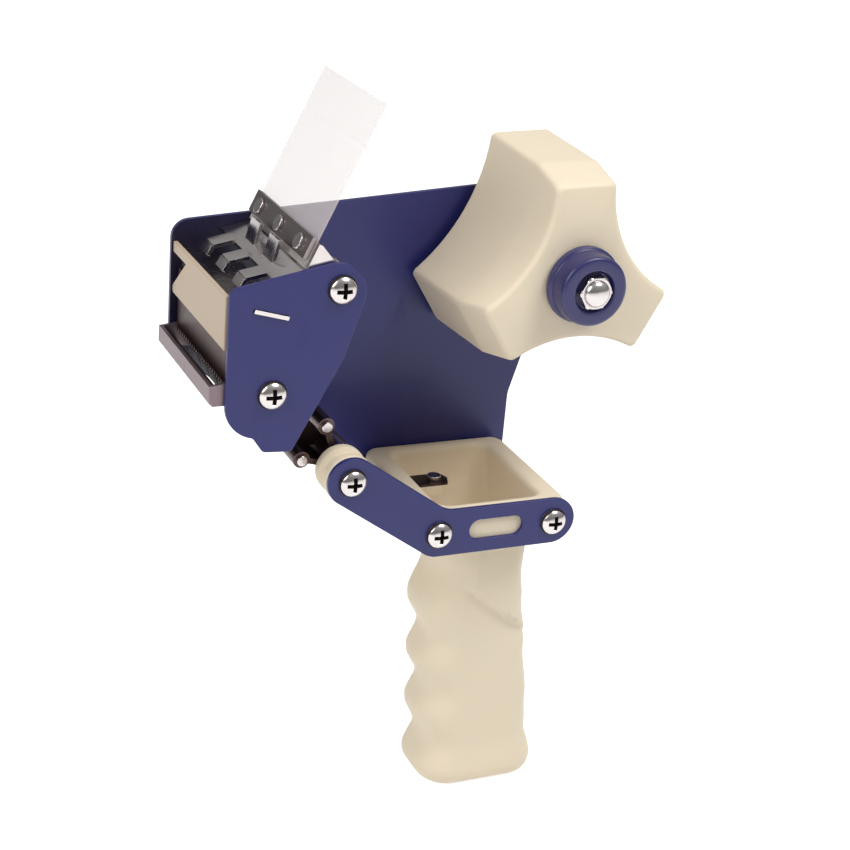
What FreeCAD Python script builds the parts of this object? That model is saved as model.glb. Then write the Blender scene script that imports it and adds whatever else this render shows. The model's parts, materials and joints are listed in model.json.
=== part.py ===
import FreeCAD, Part
import math
import os
import Sketcher

# Hand-held dispenser for carton sealing tape, in millimetres.
# +X runs from the cutting head to the back, +Y from the open side to the side frame, +Z up.
# The origin is on the axis of the tape hub, half way between the two plates.

SIZES = [
    # the two plates
    ("tape_gap", 54.0, "clear width between the plates"),
    ("sheet", 1.6, "thickness of the plates"),
    ("frame_front", -117.0, "front edge of the side frame"),
    ("frame_top_front", 9.5, "height of the side frame at the front"),
    ("frame_top_rear", 19.5, "height of the side frame above the hub axis"),
    ("frame_rear", 14.0, "rear edge of the side frame behind the hub"),
    ("frame_waist", -28.0, "height where the rear edge starts to run in"),
    ("head_front", -115.8, "front edge of the head plate"),
    ("head_top_front", 5.6, "height of the head plate at the front"),
    ("head_top_rear", 15.0, "height where the head plate's top and rear edges meet"),
    ("head_rear", -69.5, "rear edge of the head plate at the top"),
    ("head_bottom", -46.0, "lowest edge of the head plate"),
    ("head_belly", -41.0, "bottom of both plates under the press roller"),
    ("belly_rear", -106.0, "where the side frame's bottom starts to fall"),
    ("head_step_front", -107.0, "start of the step in the head plate's bottom"),
    ("head_step_rear", -103.5, "end of the step in the head plate's bottom"),
    ("head_heel_x", -94.5, "heel of the head plate"),
    ("head_heel_z", -46.5, "heel of the head plate"),
    ("head_neck_x", -79.7, "corner of the head plate's rear edge"),
    ("head_neck_z", -18.3, "corner of the head plate's rear edge"),
    # shafts across the two plates
    ("gate_x", -81.5, "gate axle"),
    ("gate_z", 4.0, "gate axle"),
    ("press_x", -101.6, "press roller axle"),
    ("press_z", -27.5, "press roller axle"),
    ("pivot_x", -74.0, "lever axle"),
    ("pivot_z", -59.0, "lever axle"),
    ("axle_radius", 3.0, "gate and press axles"),
    ("pivot_radius", 3.5, "lever axle"),
    ("running", 0.05, "radial clearance of what turns on a shaft"),
    ("side_play", 0.3, "axial clearance of what turns on a shaft"),
    # screws
    ("screw_radius", 2.0, "shank"),
    ("screw_fit", 0.05, "radial clearance of a shank in its thread"),
    ("screw_hole", 2.2, "clearance hole in a plate"),
    ("screw_length", 11.0, "shank under the head"),
    ("screw_head", 4.6, "head radius"),
    ("screw_head_height", 2.8, "head height"),
    ("recess_width", 1.3, "blade of the cross recess"),
    ("recess_reach", 2.5, "arm of the cross recess"),
    ("recess_depth", 1.7, "depth of the cross recess"),
    # handle and its bracket
    ("arm_half", 8.0, "half the width of the bracket's arm"),
    ("lug_front_x", -43.0, "front handle screw"),
    ("lug_rear_x", -2.3, "rear handle screw"),
    ("lug_z", -80.5, "handle screws"),
    ("window_length", 19.0, "oblong window in the bracket"),
    ("window_width", 7.0, "oblong window in the bracket"),
    ("box_front", -48.0, "front of the handle's box"),
    ("box_rear", 3.6, "rear of the handle's box"),
    ("box_top", -73.5, "rim of the handle's box"),
    ("box_floor", -88.5, "where the box starts to narrow"),
    ("box_corner", 4.0, "corner radius of the box"),
    ("end_wall", 8.0, "wall of the box at the front and the rear"),
    ("side_wall", 5.5, "wall of the box at the sides"),
    ("cavity_bottom", -104.0, "bottom of the handle's cavity"),
    ("cavity_corner", 4.0, "corner radius of the cavity"),
    ("cavity_draft", 1.5, "how far the cavity's sides run in by the screws"),
    ("ledge_height", 3.0, "ledge under the leaf spring"),
    ("leaf_slot", 3.6, "height of the leaf spring's slot in the box"),
    ("grip_wall", 6.0, "wall of the grip around the cavity"),
    ("grip_corner", 11.0, "corner radius of the grip's section"),
    # hub and brake
    ("hub_back_radius", 37.8, "arm tips at the back, for a core of 76 mm"),
    ("hub_waist_radius", 36.6, "arm tips where the nose starts"),
    ("hub_front_radius", 33.0, "arm tips at the front"),
    ("hub_tip_half", 10.6, "half the width of an arm's tip"),
    ("hub_scoop_back", 66.0, "radius of the hollow between two arms at the back"),
    ("hub_scoop_front", 41.0, "radius of the hollow between two arms at the front"),
    ("hub_nose", 14.0, "depth of the tapered nose"),
    ("hub_wall", 3.0, "wall of the hub"),
    ("hub_boss", 8.5, "radius of the hub's middle tube"),
    ("hub_turn", 2.0, "angle by which the hub is turned"),
    ("spindle_radius", 5.0, "radius of the hub's spindle"),
    ("spindle_flange", 12.0, "radius of the spindle's flange"),
    ("rivet_head", 1.2, "height of the spindle's riveted head"),
    ("flange_height", 1.5, "spindle flange"),
    ("brake_radius", 15.0, "radius of the brake washer"),
    ("brake_height", 1.5, "brake washer"),
    ("stud_radius", 3.0, "threaded end of the spindle"),
    ("washer_radius", 8.0, "thrust washer"),
    ("washer_height", 0.8, "thrust washer"),
    ("knob_flange", 12.4, "radius of the knob's flange"),
    ("knob_radius", 11.5, "radius of the knob"),
    ("knob_lift", 0.8, "gap between the hub and the knob's flange"),
    ("knob_flange_height", 2.3, "knob's flange"),
    ("knob_height", 9.4, "whole knob"),
    ("knob_well", 5.3, "depth of the spring's well in the knob"),
    ("knob_dish", 2.2, "depth of the dish round the nut"),
    ("nut_half", 5.0, "half the width of the nut across its flats"),
    ("nut_height", 5.6, "dome nut"),
    ("spring_radius", 6.6, "mean radius of the hub spring"),
    ("spring_wire", 0.6, "radius of the spring wire"),
    # head
    ("tab_x", -103.0, "middle of the guide sheet's side tabs"),
    ("tab_z", -2.4, "middle of the guide sheet's side tabs"),
    ("tab_length", 11.0, "side tab"),
    ("web_slope", 15.0, "slope of the guide sheet in degrees"),
    ("guide_sheet_thick", 1.2, "guide sheet"),
    ("web_front", -114.0, "front of the guide sheet"),
    ("web_rear", -95.0, "rear of the guide sheet"),
    ("web_flange", -12.5, "lower edge of the guide sheet's flange"),
    ("blade_thick", 1.0, "cutting blade"),
    ("blade_half", 25.2, "half the length of the blade"),
    ("blade_top", -5.0, "upper edge of the blade"),
    ("blade_root", -24.0, "root of the blade's teeth"),
    ("tooth_depth", 1.8, "blade's teeth"),
    ("blade_screw_y", 15.0, "blade screws to either side of the middle"),
    ("blade_screw_z", -8.5, "blade screws"),
    ("blade_screw_radius", 1.5, "blade screws"),
    ("apron_thick", 1.4, "front apron"),
    ("apron_half", 26.7, "half the length of the apron"),
    ("apron_top", 3.2, "upper edge of the apron"),
    ("apron_bottom", -13.4, "lower edge of the apron"),
    ("apron_lip", 3.4, "height of the apron's upper lip"),
    ("apron_slant_y", 13.5, "where the apron's slanted corner meets the lip"),
    ("apron_slant_z", -11.0, "where the apron's slanted corner ends"),
    ("ear", 1.2, "sheet of the gate and the blade guard"),
    ("ear_play", 0.2, "gap between an ear and the plate beside it"),
    ("guard_front", -120.4, "front of the blade guard"),
    ("guard_top", -24.2, "upper edge of the guard's lip"),
    ("guard_bottom", -30.6, "lower edge of the guard's lip"),
    ("guard_leg", 6.0, "depth of the guard's lower leg"),
    ("guard_eye", 6.0, "radius of the guard's ears round the axle"),
    ("press_roller", 11.0, "radius of the press roller"),
    ("coil_room", 3.2, "room for a coil or a collar beside the press roller"),
    ("coil_wire", 0.5, "radius of the wire of the gate's and the guard's springs"),
    ("guide_roller", 5.6, "radius of the guide roller"),
    ("guide_roller_half", 15.0, "half the length of the guide roller"),
    ("collar_length", 3.0, "collars beside the guide roller"),
    ("collar_wall", 2.0, "wall of the collars"),
    # gate and flap
    ("flap_x", -91.0, "foot of the flap"),
    ("flap_z", 12.5, "foot of the flap"),
    ("flap_tilt", 25.0, "lean of the flap in degrees"),
    ("flap_width", 50.0, "flap"),
    ("flap_length", 50.0, "flap above its foot"),
    ("flap_film", 0.6, "thickness of the flap"),
    ("flap_grip", 4.0, "flap held below its foot"),
    ("rivet_up", 2.7, "rivets above the flap's foot"),
    ("rivet_spacing", 18.0, "middle to middle of the rivets"),
    ("rivet_radius", 1.45, "rivets"),
    ("clamp_height", 6.5, "clamp bar"),
    ("clamp_thick", 1.4, "clamp bar"),
    ("gate_nose_x", -101.5, "front edge of the gate's web"),
    ("gate_nose_z", 6.4, "front edge of the gate's web"),
    ("gate_eye", 5.5, "radius of the gate's ears round the axle"),
    ("prong_width", 7.0, "prong"),
    ("prong_spacing", 16.0, "middle to middle of the prongs"),
    ("prong_reach", 6.5, "prong"),
    ("lug_width", 8.0, "upright lug of the gate"),
    ("lug_height", 7.0, "upright lug of the gate"),
    ("lug_spacing", 17.0, "middle to middle of the lugs"),
    # lever
    ("bush_radius", 8.0, "flanges of the pivot bush"),
    ("bush_groove", 6.2, "groove of the pivot bush"),
    ("bush_flange", 3.0, "thickness of the bush's two flanges"),
    ("bush_length", 10.5, "pivot bush"),
    ("sleeve_radius", 5.2, "sleeve of the brake lever"),
    ("sleeve_length", 30.0, "sleeve of the brake lever"),
    ("finger_x", -78.4, "top of the lever's finger"),
    ("finger_z", -45.4, "top of the lever's finger"),
    ("foot_x", -86.0, "end of the lever's foot"),
    ("foot_z", -56.0, "end of the lever's foot"),
    ("lever_width", 12.0, "finger and foot"),
    ("lever_sheet", 1.8, "finger and foot"),
    ("pin_radius", 1.7, "pins at the ends of the finger and the foot"),
    ("pin_stand", 1.2, "how far the pins stand out on either side"),
    ("leaf_width", 8.0, "leaf spring"),
    ("leaf_thick", 0.8, "leaf spring"),
    ("leaf_y", 8.0, "middle of the leaf spring"),
    ("leaf_tip", -24.0, "rear end of the leaf spring"),
    ("leaf_drop", -79.3, "height of the leaf spring in the handle"),
    ("leaf_play", 0.3, "gap between the leaf spring and the lever's sleeve"),
    ("leaf_screw_x", -29.0, "leaf spring's screw"),
    ("leaf_screw_radius", 1.2, "leaf spring's screw"),
]

# Sections of the grip from the neck down: height, front, rear, half the width.
GRIP = [
    (-98.0, -35.0, -0.5, 15.0),
    (-108.0, -34.3, -0.4, 14.2),
    (-119.0, -36.8, 1.6, 14.0),
    (-128.5, -33.0, 3.2, 13.6),
    (-139.0, -35.7, 5.4, 14.0),
    (-149.5, -31.6, 6.9, 13.8),
    (-159.0, -34.3, 7.7, 14.2),
    (-172.0, -30.5, 8.6, 14.4),
    (-183.0, -33.0, 11.6, 15.6),
    (-189.5, -30.6, 11.6, 15.0),
]


class Size:
    """A number that also knows the sheet formula it comes from."""

    def __init__(self, number, text):
        self.number = number
        self.text = text

    def join(self, other, sign, number):
        text = other.text if isinstance(other, Size) else repr(float(other))
        return Size(number, f"({self.text} {sign} {text})")

    def __add__(self, other):
        return self.join(other, "+", self.number + plain(other))

    def __sub__(self, other):
        return self.join(other, "-", self.number - plain(other))

    def __mul__(self, other):
        return self.join(other, "*", self.number * plain(other))

    def __truediv__(self, other):
        return self.join(other, "/", self.number / plain(other))

    def __neg__(self):
        return Size(-self.number, f"(-1 * {self.text})")


def plain(size):
    return size.number if isinstance(size, Size) else float(size)


def fixed(number):
    return Size(float(number), repr(float(number)))


def sine(angle):
    return Size(math.sin(math.radians(angle.number)), f"sin({angle.text})")


def cosine(angle):
    return Size(math.cos(math.radians(angle.number)), f"cos({angle.text})")


def root(size):
    return Size(math.sqrt(size.number), f"sqrt({size.text})")


document = FreeCAD.newDocument("tape_dispenser")
sheet_object = document.addObject("Spreadsheet::Sheet", "sizes")


def write_sheet():
    """Put the driving sizes in the sheet, one alias to a row."""
    rows = list(SIZES)
    for number, section in enumerate(GRIP):
        for word, value in zip(("height", "front", "rear", "half"), section):
            rows.append((f"grip_{word}_{number}", value, "section of the grip"))
    for row, (alias, value, note) in enumerate(rows, start=1):
        sheet_object.set(f"A{row}", alias)
        sheet_object.set(f"B{row}", str(value))
        sheet_object.setAlias(f"B{row}", alias)
        sheet_object.set(f"C{row}", note)
    document.recompute()
    return {alias: Size(float(value), f"sizes.{alias}") for alias, value, note in rows}


S = write_sheet()
near_face = -(S["tape_gap"] / 2)
far_face = S["tape_gap"] / 2
near_skin = near_face - S["sheet"]
far_skin = far_face + S["sheet"]
nodes = []


# ---------------------------------------------------------------- modelling helpers

def keep(thing, label):
    """Name a finished sub-part and list it for export."""
    thing.Label = label
    nodes.append(thing)
    return thing


def new_body(label):
    body = document.addObject("PartDesign::Body", label)
    body.Label = label
    return body


def bind(thing, name, size):
    """Tie a property to the sheet."""
    thing.setExpression(name, size.text)


def plane_sketch(body, role, offset):
    """A sketch on one of the body's own planes, moved along its normal."""
    sketch = body.newObject("Sketcher::SketchObject", f"{body.Name}_sketch")
    plane = [item for item in body.Origin.OriginFeatures if item.Role == role][0]
    sketch.AttachmentSupport = (plane, [""])
    sketch.MapMode = "FlatFace"
    sketch.AttachmentOffset = FreeCAD.Placement(
        FreeCAD.Vector(0, 0, offset.number), FreeCAD.Rotation())
    bind(sketch, "AttachmentOffset.Base.z", offset)
    return sketch


def side_sketch(body, y):
    """A sketch in the XZ plane at the given Y; its normal points along -Y."""
    return plane_sketch(body, "XZ_Plane", -y)


def tie(sketch, kind, place, size):
    """Add one dimension and bind it to the sheet."""
    index = sketch.addConstraint(Sketcher.Constraint(kind, *place, size.number))
    name = f"size_{index}"
    sketch.renameConstraint(index, name)
    bind(sketch, f"Constraints.{name}", size)


def polygon(sketch, corners):
    """Closed straight-sided outline with every corner tied to the sheet."""
    points = [FreeCAD.Vector(x.number, y.number, 0) for x, y in corners]
    count = len(points)
    first = sketch.GeometryCount
    for number, point in enumerate(points):
        sketch.addGeometry(Part.LineSegment(point, points[(number + 1) % count]), False)
    for number, (x, y) in enumerate(corners):
        line = first + number
        after = first + (number + 1) % count
        sketch.addConstraint(Sketcher.Constraint("Coincident", line, 2, after, 1))
        tie(sketch, "DistanceX", (line, 1), x)
        tie(sketch, "DistanceY", (line, 1), y)
    return sketch


def circle(sketch, x, y, radius):
    centre = FreeCAD.Vector(x.number, y.number, 0)
    shape = Part.Circle(centre, FreeCAD.Vector(0, 0, 1), radius.number)
    index = sketch.addGeometry(shape, False)
    tie(sketch, "DistanceX", (index, 3), x)
    tie(sketch, "DistanceY", (index, 3), y)
    tie(sketch, "Radius", (index,), radius)
    return sketch


def rounded_box(sketch, left, right, low, high, radius):
    """Rectangle with round corners, its sides tied to the sheet."""
    r = radius.number
    x0, x1, y0, y1 = left.number, right.number, low.number, high.number
    spots = [(x0 + r, y0), (x1 - r, y0), (x1, y0 + r), (x1, y1 - r),
             (x1 - r, y1), (x0 + r, y1), (x0, y1 - r), (x0, y0 + r)]
    points = [FreeCAD.Vector(x, y, 0) for x, y in spots]
    centres = [(x1 - r, y0 + r), (x1 - r, y1 - r), (x0 + r, y1 - r), (x0 + r, y0 + r)]
    for number in range(4):
        line = Part.LineSegment(points[2 * number], points[2 * number + 1])
        sketch.addGeometry(line, False)
        centre = FreeCAD.Vector(*centres[number], 0)
        start = math.radians(-90 + 90 * number)
        ring = Part.Circle(centre, FreeCAD.Vector(0, 0, 1), r)
        sketch.addGeometry(Part.ArcOfCircle(ring, start, start + math.pi / 2), False)
    for number in range(4):
        line = 2 * number
        arc = line + 1
        after = (line + 2) % 8
        sketch.addConstraint(Sketcher.Constraint("Tangent", line, 2, arc, 1))
        sketch.addConstraint(Sketcher.Constraint("Tangent", arc, 2, after, 1))
        if number:
            sketch.addConstraint(Sketcher.Constraint("Equal", 1, arc))
    sketch.addConstraint(Sketcher.Constraint("Horizontal", 0))
    tie(sketch, "Radius", (1,), radius)
    tie(sketch, "DistanceY", (0, 1), low)
    tie(sketch, "DistanceX", (2, 1), right)
    tie(sketch, "DistanceY", (4, 1), high)
    tie(sketch, "DistanceX", (6, 1), left)
    return sketch


def pad(body, sketch, length, mid=False, back=False):
    feature = body.newObject("PartDesign::Pad", f"{body.Name}_pad")
    feature.Profile = sketch
    feature.Midplane = mid
    feature.Reversed = back
    feature.Length = length.number
    bind(feature, "Length", length)
    document.recompute()
    return feature


def cut(body, sketch, depth, mid=False, back=False):
    """Pocket that must take material away."""
    before = body.Shape.Volume
    feature = body.newObject("PartDesign::Pocket", f"{body.Name}_pocket")
    feature.Profile = sketch
    feature.Midplane = mid
    feature.Reversed = back
    feature.Length = depth.number
    bind(feature, "Length", depth)
    document.recompute()
    if body.Shape.Volume > before - 0.01:
        raise ValueError(f"{body.Label}: a pocket cuts nothing")
    return feature


def round_edges(body, radius, wanted):
    """Fillet the edges of the body's tip that the test accepts."""
    document.recompute()
    base = body.Tip
    edges = base.Shape.Edges
    names = [f"Edge{number}" for number, edge in enumerate(edges, start=1) if wanted(edge)]
    feature = body.newObject("PartDesign::Fillet", f"{body.Name}_fillet")
    feature.Base = (base, names)
    feature.Radius = radius.number
    bind(feature, "Radius", radius)
    document.recompute()
    return feature


def corner_test(spots, first, second):
    """Accept straight edges that stand on one of the spots in the given plane."""
    def wanted(edge):
        if edge.Curve.TypeId != "Part::GeomLine":
            return False
        ends = [vertex.Point for vertex in edge.Vertexes]
        if abs(ends[0][first] - ends[1][first]) + abs(ends[0][second] - ends[1][second]) > 1e-6:
            return False
        return any(abs(ends[0][first] - x.number) < 1e-3 and abs(ends[0][second] - y.number) < 1e-3
                   for x, y in spots)
    return wanted


def plate(label, far_y, thickness, corners):
    """Flat plate in the XZ plane; each corner gives x, z and its rounding."""
    body = new_body(label)
    pad(body, polygon(side_sketch(body, far_y), [(x, z) for x, z, r in corners]), thickness)
    for radius in sorted({r for x, z, r in corners if r}):
        spots = [(x, z) for x, z, r in corners if r == radius]
        round_edges(body, fixed(radius), corner_test(spots, 0, 2))
    return body


def turned(label, profile, x=None, z=None):
    """Body turned about an axis along Y; the profile gives radius and y."""
    body = new_body(label)
    sketch = polygon(plane_sketch(body, "XY_Plane", fixed(0)), profile)
    feature = body.newObject("PartDesign::Revolution", f"{body.Name}_turn")
    feature.Profile = sketch
    feature.ReferenceAxis = (sketch, ["V_Axis"])
    feature.Angle = 360
    place(body, x, z)
    document.recompute()
    return body


def place(body, x, z):
    if x is not None:
        bind(body, "Placement.Base.x", x)
        bind(body, "Placement.Base.z", z)
    document.recompute()


def tube(label, inner, outer, low, high, x, z):
    profile = [(inner, low), (outer, low), (outer, high), (inner, high)]
    return turned(label, profile, x, z)


def group(label, bodies):
    compound = document.addObject("Part::Compound", label)
    compound.Links = bodies
    document.recompute()
    return keep(compound, label)


def holes(body, spots, radius, y, depth):
    """Round holes along Y from the given plane towards the side frame."""
    sketch = side_sketch(body, y)
    for x, z in spots:
        circle(sketch, x, z, radius)
    return cut(body, sketch, depth)


# ---------------------------------------------------------------- shared places

GATE = (S["gate_x"], S["gate_z"])
PRESS = (S["press_x"], S["press_z"])
PIVOT = (S["pivot_x"], S["pivot_z"])
LUG_FRONT = (S["lug_front_x"], S["lug_z"])
LUG_REAR = (S["lug_rear_x"], S["lug_z"])

arm_run = S["lug_front_x"] - S["pivot_x"]
arm_fall = S["pivot_z"] - S["lug_z"]
arm_length = root(arm_run * arm_run + arm_fall * arm_fall)
arm_out_x = S["arm_half"] * arm_fall / arm_length
arm_out_z = S["arm_half"] * arm_run / arm_length
arm_grade = arm_fall / arm_run
arm_top = S["lug_z"] + S["arm_half"]
arm_bottom = S["lug_z"] - S["arm_half"]
upper_start = (S["pivot_x"] + arm_out_x, S["pivot_z"] + arm_out_z)
lower_start = (S["pivot_x"] - arm_out_x, S["pivot_z"] - arm_out_z)
upper_bend = (upper_start[0] + (upper_start[1] - arm_top) / arm_grade, arm_top)
lower_bend = (lower_start[0] + (lower_start[1] - arm_bottom) / arm_grade, arm_bottom)


def sheet_strip(start, end, thickness):
    """Four corners of a straight strip of sheet seen from the side, start to end."""
    run_x = end[0] - start[0]
    run_z = end[1] - start[1]
    length = root(run_x * run_x + run_z * run_z)
    out_x = -(run_z * thickness / length / 2)
    out_z = run_x * thickness / length / 2
    return [(start[0] + out_x, start[1] + out_z), (start[0] - out_x, start[1] - out_z),
            (end[0] - out_x, end[1] - out_z), (end[0] + out_x, end[1] + out_z)]


def tab_slot(play):
    """Outline of the guide sheet's side tab, or of its slot with play round it."""
    half = S["tab_length"] / 2 + play
    reach_x = half * cosine(S["web_slope"])
    reach_z = half * sine(S["web_slope"])
    front = (S["tab_x"] - reach_x, S["tab_z"] + reach_z)
    rear = (S["tab_x"] + reach_x, S["tab_z"] - reach_z)
    return sheet_strip(front, rear, S["guide_sheet_thick"] + play * 2)


# ---------------------------------------------------------------- plates and bracket

def make_side_frame():
    rear_low = S["lug_rear_x"] + S["arm_half"]
    belly = S["head_belly"]
    corners = [
        (S["frame_front"], S["frame_top_front"], 6.0),
        (S["frame_front"], belly, 11.0),
        (S["belly_rear"], belly, 6.0),
        (lower_start[0], lower_start[1], 6.0),
        (lower_bend[0], lower_bend[1], 8.0),
        (rear_low, arm_bottom, 7.5),
        (rear_low, S["frame_waist"] - 30, 12.0),
        (S["frame_rear"], S["frame_waist"], 30.0),
        (S["frame_rear"], S["frame_top_rear"], 8.0),
    ]
    body = plate("side_frame", far_skin, S["sheet"], corners)
    spots = [GATE, PRESS, PIVOT, LUG_FRONT, LUG_REAR]
    holes(body, spots, S["screw_hole"], far_face, S["sheet"])
    cut(body, polygon(side_sketch(body, far_face), tab_slot(S["running"])), S["sheet"])
    holes(body, [(fixed(0), fixed(0))], S["spindle_radius"] - 1, far_face, S["sheet"])
    return keep(body, "side_frame")


def make_head_plate():
    corners = [
        (S["head_front"], S["head_top_front"], 3.0),
        (S["head_front"], S["head_belly"], 11.0),
        (S["head_step_front"], S["head_belly"], 1.5),
        (S["head_step_rear"], S["head_bottom"], 2.0),
        (S["head_heel_x"], S["head_heel_z"], 2.0),
        (S["head_neck_x"], S["head_neck_z"], 20.0),
        (S["head_rear"], S["head_top_rear"], 9.4),
    ]
    body = plate("head_plate", near_face, S["sheet"], corners)
    holes(body, [GATE, PRESS], S["screw_hole"], near_skin, S["sheet"])
    cut(body, polygon(side_sketch(body, near_skin), tab_slot(S["running"])), S["sheet"])
    return keep(body, "head_plate")


def make_handle_bracket():
    corners = [
        (S["pivot_x"], S["pivot_z"], 0),
        (lower_start[0], lower_start[1], 0),
        (lower_bend[0], lower_bend[1], 8.0),
        (S["lug_rear_x"], arm_bottom, 0),
        (S["lug_rear_x"], arm_top, 0),
        (upper_bend[0], upper_bend[1], 9.0),
        (upper_start[0], upper_start[1], 0),
    ]
    body = plate("handle_bracket", near_face, S["sheet"], corners)
    for spot in (PIVOT, LUG_REAR):
        pad(body, circle(side_sketch(body, near_face), *spot, S["arm_half"]), S["sheet"])
    middle = (S["lug_front_x"] + S["lug_rear_x"]) / 2
    half = (S["window_length"] - S["window_width"]) / 2
    end = S["window_width"] / 2
    window = [(middle - half, S["lug_z"] - end), (middle + half, S["lug_z"] - end),
              (middle + half, S["lug_z"] + end), (middle - half, S["lug_z"] + end)]
    cut(body, polygon(side_sketch(body, near_skin), window), S["sheet"])
    for side in (middle - half, middle + half):
        holes(body, [(side, S["lug_z"])], end, near_skin, S["sheet"])
    holes(body, [PIVOT, LUG_FRONT, LUG_REAR], S["screw_hole"], near_skin, S["sheet"])
    return keep(body, "handle_bracket")


# ---------------------------------------------------------------- fasteners and axles

def make_screw(label, x, z, far=False):
    """Pan head screw with a cross recess; the head lies outside its plate."""
    body = new_body(label)
    dome = S["screw_head_height"]
    head = S["screw_head"]
    corners = [
        (fixed(0), S["screw_length"]), (S["screw_radius"], S["screw_length"]),
        (S["screw_radius"], fixed(0)), (head, fixed(0)), (head, -(dome * 0.35)),
        (head * 0.92, -(dome * 0.62)), (head * 0.74, -(dome * 0.84)),
        (head * 0.42, -(dome * 0.97)), (fixed(0), -dome),
    ]
    sketch = polygon(plane_sketch(body, "XY_Plane", fixed(0)), corners)
    turn = body.newObject("PartDesign::Revolution", f"{body.Name}_turn")
    turn.Profile = sketch
    turn.ReferenceAxis = (sketch, ["V_Axis"])
    document.recompute()
    arm = S["recess_reach"]
    blade = S["recess_width"] / 2
    cross = [(-arm, -blade), (-blade, -blade), (-blade, -arm), (blade, -arm),
             (blade, -blade), (arm, -blade), (arm, blade), (blade, blade),
             (blade, arm), (-blade, arm), (-blade, blade), (-arm, blade)]
    cut(body, polygon(side_sketch(body, -dome), cross), S["recess_depth"])
    bind(body, "Placement.Base.x", x)
    bind(body, "Placement.Base.z", z)
    if far:
        body.Placement.Rotation = FreeCAD.Rotation(FreeCAD.Vector(0, 0, 1), 180)
        bind(body, "Placement.Base.y", far_skin)
    else:
        bind(body, "Placement.Base.y", near_skin)
    document.recompute()
    return body


def make_screws():
    head = {"gate": GATE, "press": PRESS}
    grip = {"front": LUG_FRONT, "rear": LUG_REAR}
    for side, far in (("near", False), ("far", True)):
        for name, spots in (("head", head), ("handle", grip)):
            label = f"{name}_screws_{side}"
            bodies = [make_screw(f"{label}_{key}", *spot, far) for key, spot in spots.items()]
            group(label, bodies)
        keep(make_screw(f"pivot_screw_{side}", *PIVOT, far), f"pivot_screw_{side}")


def make_axle(label, radius, x, z):
    """Rod between the plates with a tapped hole in each end."""
    bore = S["screw_radius"] + S["screw_fit"]
    depth = S["screw_length"] - S["sheet"] + 1
    profile = [
        (bore, near_face), (radius, near_face), (radius, far_face), (bore, far_face),
        (bore, far_face - depth), (fixed(0), far_face - depth),
        (fixed(0), near_face + depth), (bore, near_face + depth),
    ]
    return keep(turned(label, profile, x, z), label)


# ---------------------------------------------------------------- handle

def grip_section(body, number):
    sketch = plane_sketch(body, "XY_Plane", S[f"grip_height_{number}"])
    half = S[f"grip_half_{number}"]
    return rounded_box(sketch, S[f"grip_front_{number}"], S[f"grip_rear_{number}"],
                       -half, half, S["grip_corner"])


def loft(body, sections, kind="AdditiveLoft", ruled=False):
    feature = body.newObject(f"PartDesign::{kind}", f"{body.Name}_loft")
    feature.Profile = sections[0]
    feature.Sections = sections[1:]
    feature.Ruled = ruled
    document.recompute()
    return feature


def make_handle():
    body = new_body("handle")
    half = S["tape_gap"] / 2

    def box(height, corner):
        sketch = plane_sketch(body, "XY_Plane", height)
        return rounded_box(sketch, S["box_front"], S["box_rear"], -half, half, corner)

    loft(body, [box(S["box_top"], S["box_corner"]), box(S["box_floor"], S["box_corner"])],
         ruled=True)
    loft(body, [box(S["box_floor"], S["box_corner"]), grip_section(body, 0)], ruled=True)
    loft(body, [grip_section(body, number) for number in range(len(GRIP))], ruled=True)

    def hollow(height, front, rear, side):
        sketch = plane_sketch(body, "XY_Plane", height)
        return rounded_box(sketch, front, rear, -side, side, S["cavity_corner"])

    inner_half = half - S["side_wall"]
    front = S["box_front"] + S["end_wall"]
    rear = S["box_rear"] - S["end_wall"]
    neck_half = S["grip_half_0"] - S["grip_wall"]
    loft(body, [
        hollow(S["box_top"], front, rear, inner_half),
        hollow(S["lug_z"] - 4, front, rear, inner_half - S["cavity_draft"]),
        hollow(S["cavity_bottom"], S["grip_front_0"] + S["grip_wall"],
               S["grip_rear_0"] - S["grip_wall"], neck_half),
    ], "SubtractiveLoft", ruled=True)

    # ledge that carries the leaf spring, and the slot that it comes in through
    low = S["leaf_drop"] - S["leaf_thick"] / 2
    under = low - S["ledge_height"]
    ledge_end = S["leaf_tip"] - 3
    ledge = [(front - 1, under), (ledge_end, under), (ledge_end, low), (front - 1, low)]
    wide = S["leaf_width"] + 1
    pad(body, polygon(side_sketch(body, S["leaf_y"]), ledge), wide, mid=True)
    high = S["leaf_drop"] + S["leaf_slot"]
    slot = [(S["box_front"] - 1, low), (front + 1, low), (front + 1, high),
            (S["box_front"] - 1, high)]
    cut(body, polygon(side_sketch(body, S["leaf_y"]), slot), wide, mid=True)

    bore = S["screw_radius"] + S["screw_fit"]
    depth = S["screw_length"] - S["sheet"] + 1
    holes(body, [LUG_FRONT, LUG_REAR], bore, near_face, depth)
    sketch = side_sketch(body, far_face)
    for spot in (LUG_FRONT, LUG_REAR):
        circle(sketch, *spot, bore)
    cut(body, sketch, depth, back=True)
    leaf_hole = plane_sketch(body, "XY_Plane", low)
    leaf_bore = S["leaf_screw_radius"] + S["screw_fit"]
    cut(body, circle(leaf_hole, S["leaf_screw_x"], S["leaf_y"], leaf_bore), S["ledge_height"])
    return keep(body, "handle")


# ---------------------------------------------------------------- hub and brake

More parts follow.
